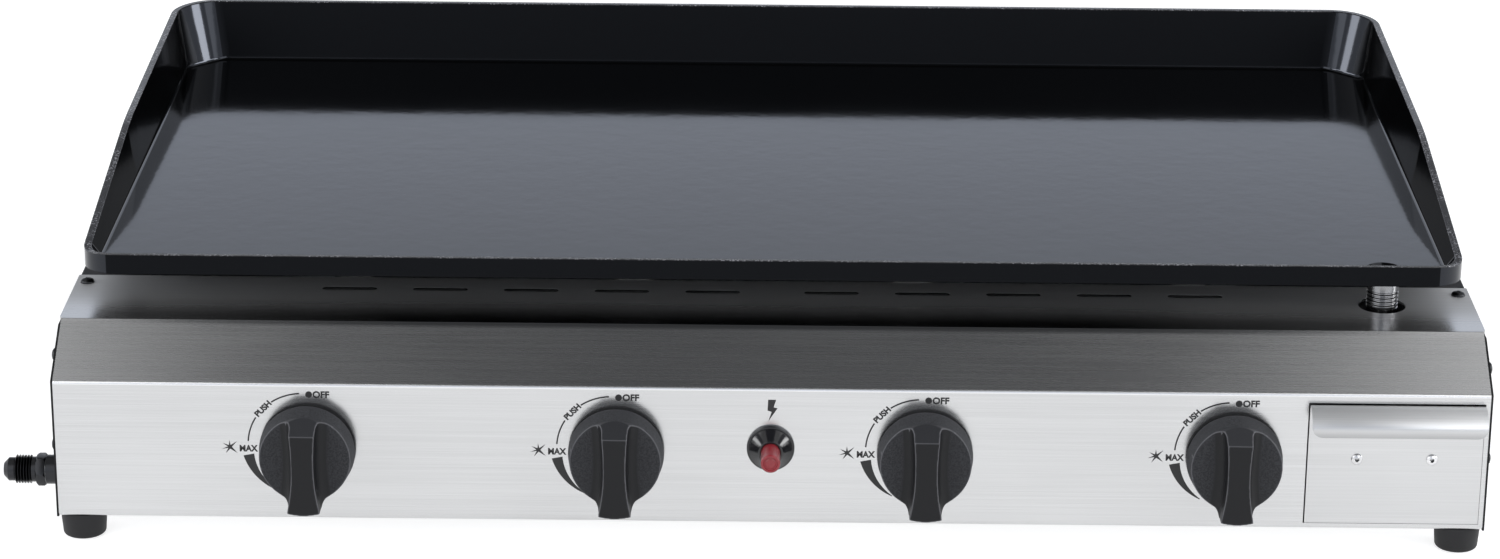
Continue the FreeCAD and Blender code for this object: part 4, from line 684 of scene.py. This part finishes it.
def rim_height(y):
    for (y0, z0), (y1, z1) in zip(RIM, RIM[1:]):
        if y <= y1:
            break
    height = z0 + (z1 - z0) * (y - y0) / (y1 - y0)
    near = max(0, 1 - abs(y - KNEE) / KNEE_RUN)
    before, after = [(RIM[k + 1][1] - RIM[k][1]) / (RIM[k + 1][0] - RIM[k][0]) for k in (1, 2)]
    return height - (before - after) * KNEE_RUN / 4 * near * near


def on_top(corner):
    return middle(corner).z > BLOCK_TOP - 1


for y in [DIP] + [KNEE + KNEE_RUN * k / 4 for k in range(-4, 5)]:
    pick("faces", lambda face: middle(face).z > PAN_FLOOR + PAN_BEND + 1)
    bpy.ops.mesh.bisect(plane_co=spot(0, y, 0), plane_no=(0, 1, 0))
rows = sorted({round(middle(corner).y, 2) for corner in bmesh.from_edit_mesh(pan.data).verts if on_top(corner)})
for row in rows:
    pick("verts", lambda corner: on_top(corner) and abs(middle(corner).y - row) < 0.02)
    shift(0, 0, rim_height(row) - BLOCK_TOP)
print("rim line follows", len(rows), "rows")

# %% [markdown]
# Enamel can't hold on to a sharp edge, so all edges are rounded by a Bevel modifier. Then the drain is drilled and
# sunk: the drill is a round bar whose end is pulled up once more and widened, so one cut makes both. Weighted
# normals keep the large floor flat in its reflections, though its border bends.

# %% The pan's rounded edges and drain
DRAIN, DRAIN_RADIUS, DRAIN_SINK, DRAIN_WIDER = (347.25, 80), 7, 1.6, 1.45
DRILL_MIDDLE, DRILL_LENGTH = 140, 12
round_edges(pan, 1.4, 4, 50)
drill = begin(bpy.ops.mesh.primitive_cone_add, (*DRAIN, DRILL_MIDDLE), vertices=48, radius1=DRAIN_RADIUS / 1000,
              radius2=DRAIN_RADIUS / 1000, depth=DRILL_LENGTH / 1000)
pick("verts", lambda corner: middle(corner).z > PAN_FLOOR)
shift(0, 0, PAN_FLOOR - DRAIN_SINK - (DRILL_MIDDLE + DRILL_LENGTH / 2))
pull(0, 0, DRAIN_SINK + 0.2)
bpy.ops.transform.resize(value=(DRAIN_WIDER, DRAIN_WIDER, 1), center_override=spot(*DRAIN, PAN_FLOOR))
carve(pan, drill, "DIFFERENCE")
settle(pan, "griddle_pan", "enamel", "griddle", "griddle_plate", "griddle_rim", angle=25)
change(pan, "WEIGHTED_NORMAL", mode="FACE_AREA", weight=90, keep_sharp=True)

# %% [markdown]
# One pan, five enamels: each face takes its finish by where it is and which way it points. The underside and the
# outer walls, the inner side walls and the back wall have their own, the rim's edge is chipped with pale specks
# that also paint its highlight line, and the rest is glossy.

# %% The pan's enamels
GLOSSY, OUTSIDE, EDGE, WALL, BACK_WALL = range(5)
for slot in ("enamel_outside", "enamel_edge", "enamel_wall", "enamel_back"):
    pan.data.materials.append(finishes[slot])
for face in pan.data.polygons:
    at, way = measured(face.center), face.normal
    sideways = way.x * math.copysign(1, at.x)
    outwards = max(sideways, way.y * math.copysign(1, at.y - PAN_MIDDLE))
    below = at.z < PAN_FLOOR - PAN_GAUGE / 2 and way.z < 0.5
    outer_wall = outwards > 0.6 and way.z < 0.5 and abs(way.x) < 0.3
    face.material_index = OUTSIDE if below or outer_wall else GLOSSY
    if sideways < -0.9 and at.y < PAN_BACK - 50:
        face.material_index = WALL
    if way.y < -0.9 and at.y > PAN_BACK - 20:
        face.material_index = BACK_WALL
    # The rim's outer edge takes the chipped enamel, whose pale specks also paint a highlight.
    if rim_height(at.y) - at.z < 1.2:
        face.material_index = EDGE if outwards > -0.05 else OUTSIDE
print("pan wears", len(pan.data.materials), "enamels")

# %% [markdown]
# A knob is moulded in one shot: a round skirt, and a grip bar that runs across it and over its lower edge.
# Fingers go into two hollows beside the bar, and their floor runs up the bar's sides in one curve. So it is made
# as a maker would turn and mill a model of it. It starts with a solid drum, a little narrower in front, as high
# as the bar.

# %% The knob's drum
KNOBS, KNOB_Z = (-258, -86, 86, 258), 57.6
KNOB_BACK, KNOB_FRONT, KNOB_FACE = -3.4, -17.6, -30.1
BACK_RADIUS, FRONT_RADIUS = 26.8, 25.2
first = KNOBS[0]
knob = begin(bpy.ops.mesh.primitive_cone_add, (first, (KNOB_BACK + KNOB_FRONT) / 2, KNOB_Z),
             vertices=128, radius1=BACK_RADIUS / 1000, radius2=FRONT_RADIUS / 1000,
             depth=(KNOB_BACK - KNOB_FRONT) / 1000, rotation=(math.pi / 2, 0, 0))
pick("faces", lambda face: face.normal.y < -0.9)
pull(0, KNOB_FACE - KNOB_FRONT, 0)
bpy.ops.object.mode_set(mode="OBJECT")
print("drum has", len(knob.data.polygons), "faces")

# %% [markdown]
# The bar's tail stands out below the drum. Its flanks widen upwards in a curve until they meet the drum, and its
# lower end is slightly round. A thin block is sliced into rows, each row is moved out to the curve, and then
# the block is sliced into columns and its lower end is pushed out.

# %% The knob's tail
TAIL, TAIL_TOP, TAIL_HALF, TAIL_FLARE, TAIL_ROUND = 27.0, 14, 9.2, 0.1, 1.3
TAIL_ROWS, TAIL_COLUMNS, INTO_DRUM = 12, (-7.5, -5, -2.5, 0, 2.5, 5, 7.5), 5
tail_end, tail_depth = KNOB_Z - TAIL, KNOB_BACK - 3 - KNOB_FACE
tail = begin(bpy.ops.mesh.primitive_cube_add, (first, KNOB_FACE + tail_depth / 2, KNOB_Z - (TAIL + TAIL_TOP) / 2),
             (2, tail_depth, TAIL - TAIL_TOP), size=1)
heights = [(TAIL - TAIL_TOP) * k / TAIL_ROWS for k in range(TAIL_ROWS + 1)]
for height in heights[1:-1]:
    slice_all((0, 0, tail_end + height), UP)
for height in heights:
    chord = math.sqrt(FRONT_RADIUS ** 2 - min(FRONT_RADIUS, TAIL - height) ** 2)
    flank = TAIL_HALF + TAIL_FLARE * height * height
    if height > INTO_DRUM:
        flank = min(flank, chord - 0.3)
    for side in (-1, 1):
        pick("verts", lambda corner: abs(middle(corner).z - (tail_end + height)) < 0.01
             and side * (middle(corner).x - first) > 0)
        shift(side * (flank - 1), 0, 0)
for x in TAIL_COLUMNS:
    slice_all((first + x, 0, 0), TO_RIGHT)
for x in TAIL_COLUMNS:
    pick("verts", lambda corner: middle(corner).z < tail_end + 0.01 and abs(middle(corner).x - first - x) < 0.01)
    shift(0, 0, -TAIL_ROUND * (1 - (x / TAIL_HALF) ** 2))
carve(knob, tail, "UNION")
print("drum with its tail has", len(knob.data.polygons), "faces")

# %% [markdown]
# The hollows are milled with a round-nosed cutter that follows the bar's waist. The cutter is a block with one
# long edge rounded. It is sliced into rows, and each row is moved out by half of the bar's width there. A
# slanting cut over the shoulder finishes the milling.

# %% The knob's hollows and shoulder
MILL_ROWS, MILL_REACH, MILL_NOSE = 16, 40, 7.5
MILL_WIDTH, MILL_DEPTH, BELOW_FRONT, SHOULDER = 60, 40, 1, 18.8


def bar_half(z):
    """Half the width of the grip bar at a height over the knob's axis: a waist, and a wider tail."""
    return 6.2 + (0.0041 if z < 0 else 0.0024) * z * z


heights = [-MILL_REACH + 2 * MILL_REACH * k / MILL_ROWS for k in range(MILL_ROWS + 1)]
for side in (-1, 1):
    mill = begin(bpy.ops.mesh.primitive_cube_add,
                 (first + side * MILL_WIDTH / 2, KNOB_FRONT + BELOW_FRONT - MILL_DEPTH / 2, KNOB_Z),
                 (MILL_WIDTH, MILL_DEPTH, 2 * MILL_REACH), size=1)
    pick("edges", lambda edge: abs(middle(edge).x - first) < 0.01 and middle(edge).y > KNOB_FRONT)
    bpy.ops.mesh.bevel(offset=MILL_NOSE / 1000, segments=10, profile=0.5)
    for height in heights[1:-1]:
        slice_all((0, 0, KNOB_Z + height), UP)
    for height in heights:
        pick("verts", lambda corner: abs(middle(corner).z - KNOB_Z - height) < 0.01
             and abs(middle(corner).x - first) < 20)
        shift(side * bar_half(max(-28, min(26, height))), 0, 0)
    carve(knob, mill, "DIFFERENCE")
bpy.ops.object.mode_set(mode="EDIT")
bpy.ops.mesh.select_all(action="SELECT")
slope = Vector((0, KNOB_FRONT - KNOB_FACE, FRONT_RADIUS - SHOULDER))
bpy.ops.mesh.bisect(plane_co=spot(first, KNOB_FACE, KNOB_Z + SHOULDER),
                    plane_no=Vector((0, -slope.z, slope.y)).normalized(), clear_outer=True, use_fill=True)
print("milled knob has", len(bmesh.from_edit_mesh(knob.data).faces), "faces")

# %% [markdown]
# A mould has no sharp edges inside, so a knob has none outside. Bevels would get into each other where so many
# curved cuts meet. A fine voxel Remesh that is smoothed rounds all edges alike, and Decimate takes out what the
# flat parts don't need. The other three knobs are copies.

# %% The knob's moulded edges, and its three copies
change(knob, "REMESH", mode="VOXEL", voxel_size=0.00042)
change(knob, "SMOOTH", factor=0.5, iterations=3)
change(knob, "DECIMATE", ratio=0.3)
knobs = [knob] + [twin(knob, x - first, 0, 0) for x in KNOBS[1:]]
for number, piece in enumerate(knobs, 1):
    settle(piece, f"grip_knob_{number}", "knob_plastic", f"knob_{number}", f"control_knob_{number}", angle=60)

# %% [markdown]
# Round pieces, such as the cone nut, the feet or the gas stub, are turned on a lathe in real life. In Blender a
# lathe is the Spin tool: half of the section is drawn by pulling one corner from point to point, and the line is
# spun round the axis. `turned` does that for a list of points, each given as a distance along the axis and a
# radius. A line that starts and ends on the axis, or where it began, gives a closed piece.

# %% Turning


def one_corner(at):
    """A new piece of a single corner, in edit mode and selected."""
    piece = begin(bpy.ops.mesh.primitive_plane_add, at, size=0.001)
    bpy.ops.mesh.select_mode(type="VERT")
    bpy.ops.mesh.select_all(action="SELECT")
    bpy.ops.mesh.merge(type="CENTER")
    return piece


def draw(points):
    """A line through points of the panel's measures, pulled out of one corner and left selected."""
    piece = one_corner(points[0])
    for last, now in zip(points, points[1:]):
        pull(*(Vector(now) - Vector(last)))
    bpy.ops.mesh.select_all(action="SELECT")
    return piece


def turned(section, foot, along, steps=64):
    """Spins a half section round the axis that leaves the foot in the direction along."""
    along = Vector(along)
    out = Vector(UP) if abs(along.z) < 0.5 else Vector(TO_RIGHT)
    piece = draw([Vector(foot) + along * run + out * radius for run, radius in section])
    bpy.ops.mesh.spin(steps=steps, angle=2 * math.pi, center=spot(*foot), axis=along)
    close_up()
    bpy.ops.object.mode_set(mode="OBJECT")
    return piece


def arc(run, radius, size, start, stop, steps=6):
    """Points on a rounding of that size, from one angle to another, in degrees from the axis."""
    turns = [math.radians(start + (stop - start) * k / steps) for k in range(steps + 1)]
    return [(run + size * math.cos(turn), radius + size * math.sin(turn)) for turn in turns]


def dome(seat, height, radius, last, fuller=1.0):
    """Points on a low dome, from its foot up, every 15 degrees down to the last angle."""
    turns = [math.radians(degrees) for degrees in range(90, last - 1, -15)]
    return [(seat + height * math.cos(turn) ** fuller, radius * math.sin(turn)) for turn in turns]


print("lathe ready")

# %% [markdown]
# The igniter is a glossy black cone nut round a red button. The nut has a narrow straight rim, a rounded
# edge that catches two crescent lights, and a flat cone up to the button's guide. The button's end has
# a small bevel, which shows as a lighter ring, and a groove inside it. It reaches as far back as its CAD piece.

# %% Cone nut and button
IGNITER = (0, 0, 61)
nut = turned([(0, 6.6), (0, 13.3)] + arc(1.6, 12.8, 0.5, 90, 20, 4) + [(2.3, 12.5), (2.3, 12.2)]
             + arc(3.0, 11.2, 0.9, 100, 50, 5) + [(8.1, 7.0)] + arc(8.1, 6.6, 0.4, 45, 0, 3)
             + [(8.5, 5.8), (2, 5.8), (2, 6.6), (0, 6.6)], IGNITER, TO_FRONT, 96)
settle(nut, "igniter_cone", "igniter_plastic", "housing", "igniter_nut", angle=28)
button_back = (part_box("igniter_button")[1].y - PANEL_MIDDLE.y) * -1000
button = turned([(button_back, 0), (button_back, 4.4), (4, 4.4), (4, 5.4), (23.6, 5.4)]
                + arc(23.7, 4.4, 1.0, 80, 10, 6)
                + [(24.7, 4.0), (24.1, 3.6), (24.1, 3.0), (24.4, 2.6), (24.5, 0)], IGNITER, TO_FRONT)
settle(button, "igniter_red_button", "button_red", "igniter_push", "igniter_button", angle=28)

# %% [markdown]
# The gas stub on the left is a flare fitting: a cone nose, a screw thread, a hexagon with its corners turned
# off, and the pipe behind it. The thread is cut as rings, because at this size its pitch can't be told from
# a true screw. The hexagon is a six-sided bar that is cut to the shape of a turned disc with slanting edges.

# %% Gas stub
INLET = (-400, 38, 27.8)
THREAD_START, THREAD_PITCH, RIDGES, ROOT, CREST = 19.4, 1.6, 6, 6.6, 8.2
HEX_MIDDLE, HEX_RADIUS, HEX_LENGTH = 14.0, 9.53, 5.4
profile = [(-0.4, 0), (-0.4, 8.35), (10.9, 8.35), (11.2, 7.9), (16.6, 7.9), (17.0, 7.2),
           (THREAD_START - 0.2, 7.2), (THREAD_START, ROOT)]
for ridge in range(RIDGES):
    start = THREAD_START + ridge * THREAD_PITCH
    profile += [(start + 0.65, CREST), (start + 0.8, CREST), (start + THREAD_PITCH, ROOT)]
nose = THREAD_START + RIDGES * THREAD_PITCH
profile += [(nose + 0.2, 6.7), (nose + 3.6, 6.7), (34.9, 4.3), (35.3, 3.9), (35.3, 3.4), (20, 3.4), (20, 0)]
stub = turned(profile, INLET, TO_LEFT, 56)
hexagon = begin(bpy.ops.mesh.primitive_cylinder_add, (INLET[0] - HEX_MIDDLE, INLET[1], INLET[2]), vertices=6,
                radius=HEX_RADIUS / 1000, depth=HEX_LENGTH / 1000, rotation=(0, math.pi / 2, 0))
bpy.ops.object.mode_set(mode="OBJECT")
disc = turned([(11.3, 0), (11.3, 8.6), (12.2, 9.5), (15.6, 9.5), (16.7, 8.3), (16.7, 0)], INLET, TO_LEFT, 72)
carve(hexagon, disc, "INTERSECT")
round_edges(hexagon, 0.25, 2, 40)
settle(gather([stub, hexagon]), "gas_stub", "black_fitting", "housing", "gas_inlet", angle=24)

# %% [markdown]
# The rubber feet are a little wider at the top, have a rounded lower edge and are hollow where their screw sits.
# One is turned, and the other three are copies.

# %% Feet
FEET = {"foot_front_left": (-387, 14), "foot_front_right": (387, 14), "foot_back_left": (-387, 456),
        "foot_back_right": (387, 456)}
foot_x, foot_y = FEET["foot_front_left"]
rubber = turned([(7, 0), (7, 5.5), (0.4, 5.5), (0, 5.9)] + arc(2.0, 10.05, 2.0, 180, 95)
                + [(12.5, 12.9)] + arc(14.2, 12.2, 0.8, 85, 0, 4) + [(15, 0)], (foot_x, foot_y, 0), UP, 72)
feet = [rubber] + [twin(rubber, x - foot_x, y - foot_y, 0) for x, y in list(FEET.values())[1:]]
for piece, name in zip(feet, FEET):
    settle(piece, name.replace("foot", "rubber_foot"), "rubber", "housing", name, angle=30)

# %% [markdown]
# Dome screws hold the deck and the sides. The head is turned, and a tapered bit cuts its cross recess in two
# strokes. The heads on the sides are copies, turned to face left or right.

# %% Dome screws
DECK_SCREWS = [(side * 393.4, 98, 119.5) for side in (-1, 1)]
SIDE_SCREWS = [(10, 55), (24, 103), (459, 55), (459, 89), (231.2, 24.4), (390, 24.4)]
SIDE, HEAD_RADIUS, HEAD_HEIGHT = 400, 4.0, 2.5
screw = turned([(-0.3, 0), (-0.3, HEAD_RADIUS)] + dome(0, HEAD_HEIGHT, HEAD_RADIUS, 15, fuller=0.8)
               + [(HEAD_HEIGHT, 0)], DECK_SCREWS[0], UP, 40)
x, y, z = DECK_SCREWS[0]
for stroke in (0, math.pi / 2):
    bit = begin(bpy.ops.mesh.primitive_cube_add, (x, y, z + 2.4), (4.2, 0.95, 2.2), size=1,
                rotation=(0, 0, stroke + 0.4))
    pick("faces", lambda face: face.normal.z < -0.9)
    bpy.ops.transform.resize(value=(0.55, 0.55, 1), center_override=spot(x, y, z))
    carve(screw, bit, "DIFFERENCE")


def screw_at(place, facing):
    """A copy of the first screw, turned from facing up to facing another way."""
    copy = twin(screw, 0, 0, 0)
    away = Vector(UP).rotation_difference(Vector(facing)).to_matrix().to_4x4()
    home = Matrix.Translation(spot(*DECK_SCREWS[0]))
    copy.data.transform(Matrix.Translation(spot(*place)) @ away @ home.inverted())
    return copy


heads = {"left_side_screws": [screw_at((-SIDE, y, z), TO_LEFT) for y, z in SIDE_SCREWS],
         "right_side_screws": [screw_at((SIDE, y, z), TO_RIGHT) for y, z in SIDE_SCREWS],
         "deck_screws": [screw_at(DECK_SCREWS[1], UP), screw]}
for name, group in heads.items():
    settle(gather(group), name.replace("screws", "dome_screws"), "black_screw", "housing", name, angle=40)

# %% [markdown]
# The drawer's front is one strip of sheet steel. It stands upright, folds forwards at its top and rolls down into
# a lip for the fingers. So its section is drawn as a line, the line is pulled along the drawer's width, and
# Solidify gives it the thickness of the sheet.

# %% Drawer front
drawer_low, drawer_high = [measured(corner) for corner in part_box("drawer_front")]
SHEET, FRONT_ROLL, FRONT_FOLD, LIP_DROP, CLOSER = 0.8, 12, 2.2, 14, 0.6
lip_low, drawer_right = drawer_high.z - LIP_DROP, drawer_high.x + CLOSER
section = ([(SHEET, drawer_low.z - CLOSER)]
           + arc(SHEET - FRONT_FOLD, drawer_high.z - FRONT_FOLD, FRONT_FOLD, 0, 90, 5)
           + arc(drawer_low.y + FRONT_ROLL, drawer_high.z - FRONT_ROLL, FRONT_ROLL, 90, 180, 14)
           + [(drawer_low.y, lip_low)])
strip = draw([(drawer_low.x, y, z) for y, z in section])
bpy.ops.mesh.extrude_edges_move(TRANSFORM_OT_translate={"value": ((drawer_right - drawer_low.x) / 1000, 0, 0)})
close_up()
if min(bmesh.from_edit_mesh(strip.data).faces, key=lambda face: middle(face).y).normal.y > 0:
    bpy.ops.mesh.flip_normals()
change(strip, "SOLIDIFY", thickness=SHEET / 1000, offset=-1, use_even_offset=True)
print("strip has", len(strip.data.polygons), "faces")

# %% [markdown]
# The lip's corners are rounded: a block with a round hollow cuts them, as a corner punch does. The faces of the
# sheet's cut edge at the lip get a dark finish of their own, as painted shade that draws a thin line under the
# lip.

# %% The lip's corners and cut edge
LIP_CORNER = 6
for side, edge in ((-1, drawer_low.x), (1, drawer_right)):
    round_x = edge - side * LIP_CORNER
    punch = begin(bpy.ops.mesh.primitive_cube_add,
                  ((round_x + edge + side) / 2, drawer_low.y + 3, lip_low + LIP_CORNER / 2 - 0.5),
                  (LIP_CORNER + 1, 8, LIP_CORNER + 1), size=1)
    hollow = begin(bpy.ops.mesh.primitive_cylinder_add, (round_x, drawer_low.y + 3, lip_low + LIP_CORNER),
                   vertices=48, radius=LIP_CORNER / 1000, depth=0.02, rotation=(math.pi / 2, 0, 0))
    carve(punch, hollow, "DIFFERENCE")
    carve(strip, punch, "DIFFERENCE")
round_edges(strip, 0.3, 2, 50)
settle(strip, "drawer_panel", "drawer_steel", "grease_drawer", "drawer_front", angle=30)
# Painted shade: the lip's cut edge faces take the dark cut edge finish.
strip.data.materials.append(finishes["cut_edge"])
for face in strip.data.polygons:
    at = measured(face.center)
    at_lip = at.y < drawer_low.y + SHEET + 0.1 and at.z < lip_low + LIP_CORNER
    face.material_index = int(at_lip and abs(face.normal.y) < 0.96)

# %% [markdown]
# Two blind rivets hold the drawer's front to its tray. Such a rivet has a low dome, with a hole in the middle
# where its pin broke off. The hole is part of the turned section, and it is painted dark as shade.

# %% Drawer rivets
RIVETS = [(347.25 + side * 20.85, 0, 57.5) for side in (-1, 1)]
RIVET_HEIGHT, RIVET_RADIUS, HOLE = 1.4, 3.3, 1.15
seat = -(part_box("drawer_rivets")[0].y - PANEL_MIDDLE.y) * 1000 - RIVET_HEIGHT
rivet = turned([(seat - 0.4, 0), (seat - 0.4, RIVET_RADIUS)] + dome(seat, RIVET_HEIGHT, RIVET_RADIUS, 30)
               + [(seat + 1.35, 1.3), (seat + 1.2, HOLE), (seat - 0.1, 1.1), (seat - 0.1, 0)],
               RIVETS[0], TO_FRONT, 40)
rivets = gather([rivet, twin(rivet, RIVETS[1][0] - RIVETS[0][0], 0, 0)])
settle(rivets, "drawer_rivet_heads", "rivet_alloy", "grease_drawer", "drawer_rivets", angle=40)
# Painted shade: the faces in the rivet's hole take the black finish.
rivets.data.materials.append(finishes["black_screw"])
for face in rivets.data.polygons:
    at = measured(face.center)
    face.material_index = int(min(math.hypot(at.x - x, at.z - z) for x, _, z in RIVETS) < HOLE)

# %% [markdown]
# Grease leaves the pan through a short steel tube under its drain, which leads it down to the drawer. A flange
# sits under the pan, and below it are a few turned grooves. They are drawn into the section, because they catch
# the light.

# %% Drain spout
GROOVES, GROOVE_STEP, TUBE, GROOVE_FLOOR = 5, 2.2, 9.0, 8.55
grooves = []
for k in range(GROOVES):
    start = 8 + GROOVE_STEP * k
    grooves += [(start, TUBE), (start + 0.5, GROOVE_FLOOR), (start + 1.1, GROOVE_FLOOR), (start + 1.6, TUBE)]
spout = turned([(0, 7.0), (0, 11.0), (1.2, 11.0), (1.6, 9.6), (2.6, TUBE)] + grooves
               + [(36.9, TUBE), (37.7, 8.6), (38.5, 7.8), (38.5, 7.2), (38, 7.0), (0, 7.0)],
               (*DRAIN, PAN_LOW), DOWN)
settle(spout, "drain_tube", "spout_steel", "griddle", "drain_spout", angle=30)

# %% [markdown]
# The marks on the panel are printed: a dot with OFF, PUSH along a thin arc, MAX with a spark, a wedge that
# thins out with the flame, and a flash over the igniter. A print has almost no height, so each mark is a flat
# shape that is raised by a tenth of a millimetre. An arc is a short edge that is spun. The wedge is an arc too,
# and its two borders are moved in or out after the spin, a little more at each step.

# %% Ink and arcs
INK = 0.12
ARC_MIDDLE, ARC_RADIUS, ARC_HALF = (-2.3, 2.0), 30.84, 0.42
dial_x, dial_z = first + ARC_MIDDLE[0], KNOB_Z + ARC_MIDDLE[1]


def raise_ink():
    """Gives the flat mark in edit mode its thickness, towards the front."""
    bpy.ops.mesh.select_all(action="SELECT")
    pull(0, -INK, 0)
    close_up()
    bpy.ops.object.mode_set(mode="OBJECT")


def on_dial(degrees):
    """The direction from the dial's middle at an angle from the right."""
    return Vector((math.cos(math.radians(degrees)), 0, math.sin(math.radians(degrees))))


def dial_arc(start, stop, inner, outer, steps=24):
    """A flat arc round the dial's middle: two angles, and each border's radius at both ends."""
    piece = one_corner((dial_x, 0, dial_z))
    shift(*(on_dial(start) * inner[0]))
    pull(*(on_dial(start) * (outer[0] - inner[0])))
    bpy.ops.mesh.select_all(action="SELECT")
    bpy.ops.mesh.spin(steps=steps, angle=math.radians(stop - start), center=spot(dial_x, 0, dial_z),
                      axis=(0, 1, 0))
    for k in range(steps + 1 if inner[0] != inner[1] else 0):
        away = on_dial(start + (stop - start) * k / steps)
        for at_start, at_stop in (inner, outer):
            place = Vector((dial_x, 0, dial_z)) + away * at_start
            pick("verts", lambda corner: (middle(corner) - place).length < 0.01)
            shift(*(away * (at_stop - at_start) * k / steps))
    raise_ink()
    return piece


thin = ((ARC_RADIUS - ARC_HALF,) * 2, (ARC_RADIUS + ARC_HALF,) * 2)
marks = [dial_arc(93, 124, *thin), dial_arc(148, 176, *thin), dial_arc(191, 240, (28.2, 31.1), (34.3, 31.5))]
print("dial has", len(marks), "arcs")

# %% [markdown]
# Letters are Blender's own text, made a little bolder by an offset and turned into a mesh. The words are generic
# ones that such a dial needs.

# %% Words
CAPITAL, BOLDER = 0.7, 0.0002


def word(text, at, height, turn=0.0, wide=1.0):
    """A word on the panel, middle at the place; its capitals are so many millimetres high."""
    bpy.ops.object.select_all(action="DESELECT")
    bpy.ops.object.text_add()
    letters = bpy.context.object
    letters.data.body, letters.data.align_x, letters.data.align_y = text, "CENTER", "CENTER"
    letters.data.size, letters.data.offset = height / 1000 / CAPITAL, BOLDER
    letters.data.resolution_u = 4
    bpy.ops.object.convert(target="MESH")
    bpy.ops.object.origin_set(type="ORIGIN_GEOMETRY", center="BOUNDS")
    letters.matrix_world = (Matrix.Translation(spot(*at)) @ Matrix.Rotation(-turn, 4, "Y")
                            @ Matrix.Rotation(math.pi / 2, 4, "X") @ Matrix.Diagonal((wide, 1, 1, 1)))
    bpy.ops.object.transform_apply(location=True, rotation=True, scale=True)
    bpy.ops.object.mode_set(mode="EDIT")
    bpy.ops.mesh.select_all(action="SELECT")
    bpy.ops.mesh.remove_doubles(threshold=0.000002)
    raise_ink()
    return letters


OFF_UP, PUSH_AT = 32.3, 135.5
push_x, _, push_z = Vector((dial_x, 0, dial_z)) + on_dial(PUSH_AT) * ARC_RADIUS
marks += [word("OFF", (first + 8.2, 0, KNOB_Z + OFF_UP), 3.7),
          word("MAX", (first - 32.9, 0, KNOB_Z - 0.2), 3.6, wide=0.9),
          word("PUSH", (push_x, 0, push_z), 3.3, math.radians(PUSH_AT) - math.pi / 2)]
print("dial has", len(marks), "marks")

# %% [markdown]
# The dot, the spark and the flash are flat shapes with straight sides. A filled circle with as many corners as the
# shape is added, and each corner is moved to its place. The corners go to a plane of their own first, so that a
# corner that has moved is never taken for one that still has to. The dial is copied to the other knobs.

# %% Dot, spark and flash
SPARK, SPARK_CORE = ((5.2, 40), (3.9, 92), (4.3, 150), (4.6, 196), (4.6, 238), (5.4, 318)), 1.1
FLASH = [(-1.9, 6.3), (2.5, 6.3), (1.2, 1.8), (3.3, 1.2), (-1.7, -6.5), (0.1, -0.9), (-2.2, -0.1)]
DOT, DOT_CORNERS, ASIDE = 1.9, 32, 100


def flat_mark(points, at):
    piece = begin(bpy.ops.mesh.primitive_circle_add, at, vertices=len(points), radius=0.001, fill_type="NGON",
                  rotation=(math.pi / 2, 0, 0))
    places = [middle(corner) for corner in bmesh.from_edit_mesh(piece.data).verts]
    for place, (x, z) in zip(places, points):
        pick("verts", lambda corner: (middle(corner) - place).length < 0.001)
        shift(*(Vector(at) + Vector((x, ASIDE, z)) - place))
    bpy.ops.mesh.select_all(action="SELECT")
    shift(0, -ASIDE, 0)
    raise_ink()
    return piece


def around(reach, degrees):
    return reach * math.cos(math.radians(degrees)), reach * math.sin(math.radians(degrees))


spark = []
for k, (reach, heading) in enumerate(SPARK):
    gap = (SPARK[(k + 1) % len(SPARK)][1] - heading) % 360
    spark += [around(reach, heading), around(SPARK_CORE, heading + gap / 2)]
dot = [around(DOT, 360 * k / DOT_CORNERS) for k in range(DOT_CORNERS)]
marks += [flat_mark(dot, (first + 1.4, 0, KNOB_Z + OFF_UP)), flat_mark(spark, (first - 43.4, 0, KNOB_Z + 0.6))]
dial = gather(marks)
dials = [dial] + [twin(dial, x - first, 0, 0) for x in KNOBS[1:]]
for number, piece in enumerate(dials, 1):
    settle(piece, f"dial_print_{number}", "panel_ink", "housing")
settle(flat_mark(FLASH, (0.3, 0, 83.2)), "igniter_flash_print", "panel_ink", "housing")
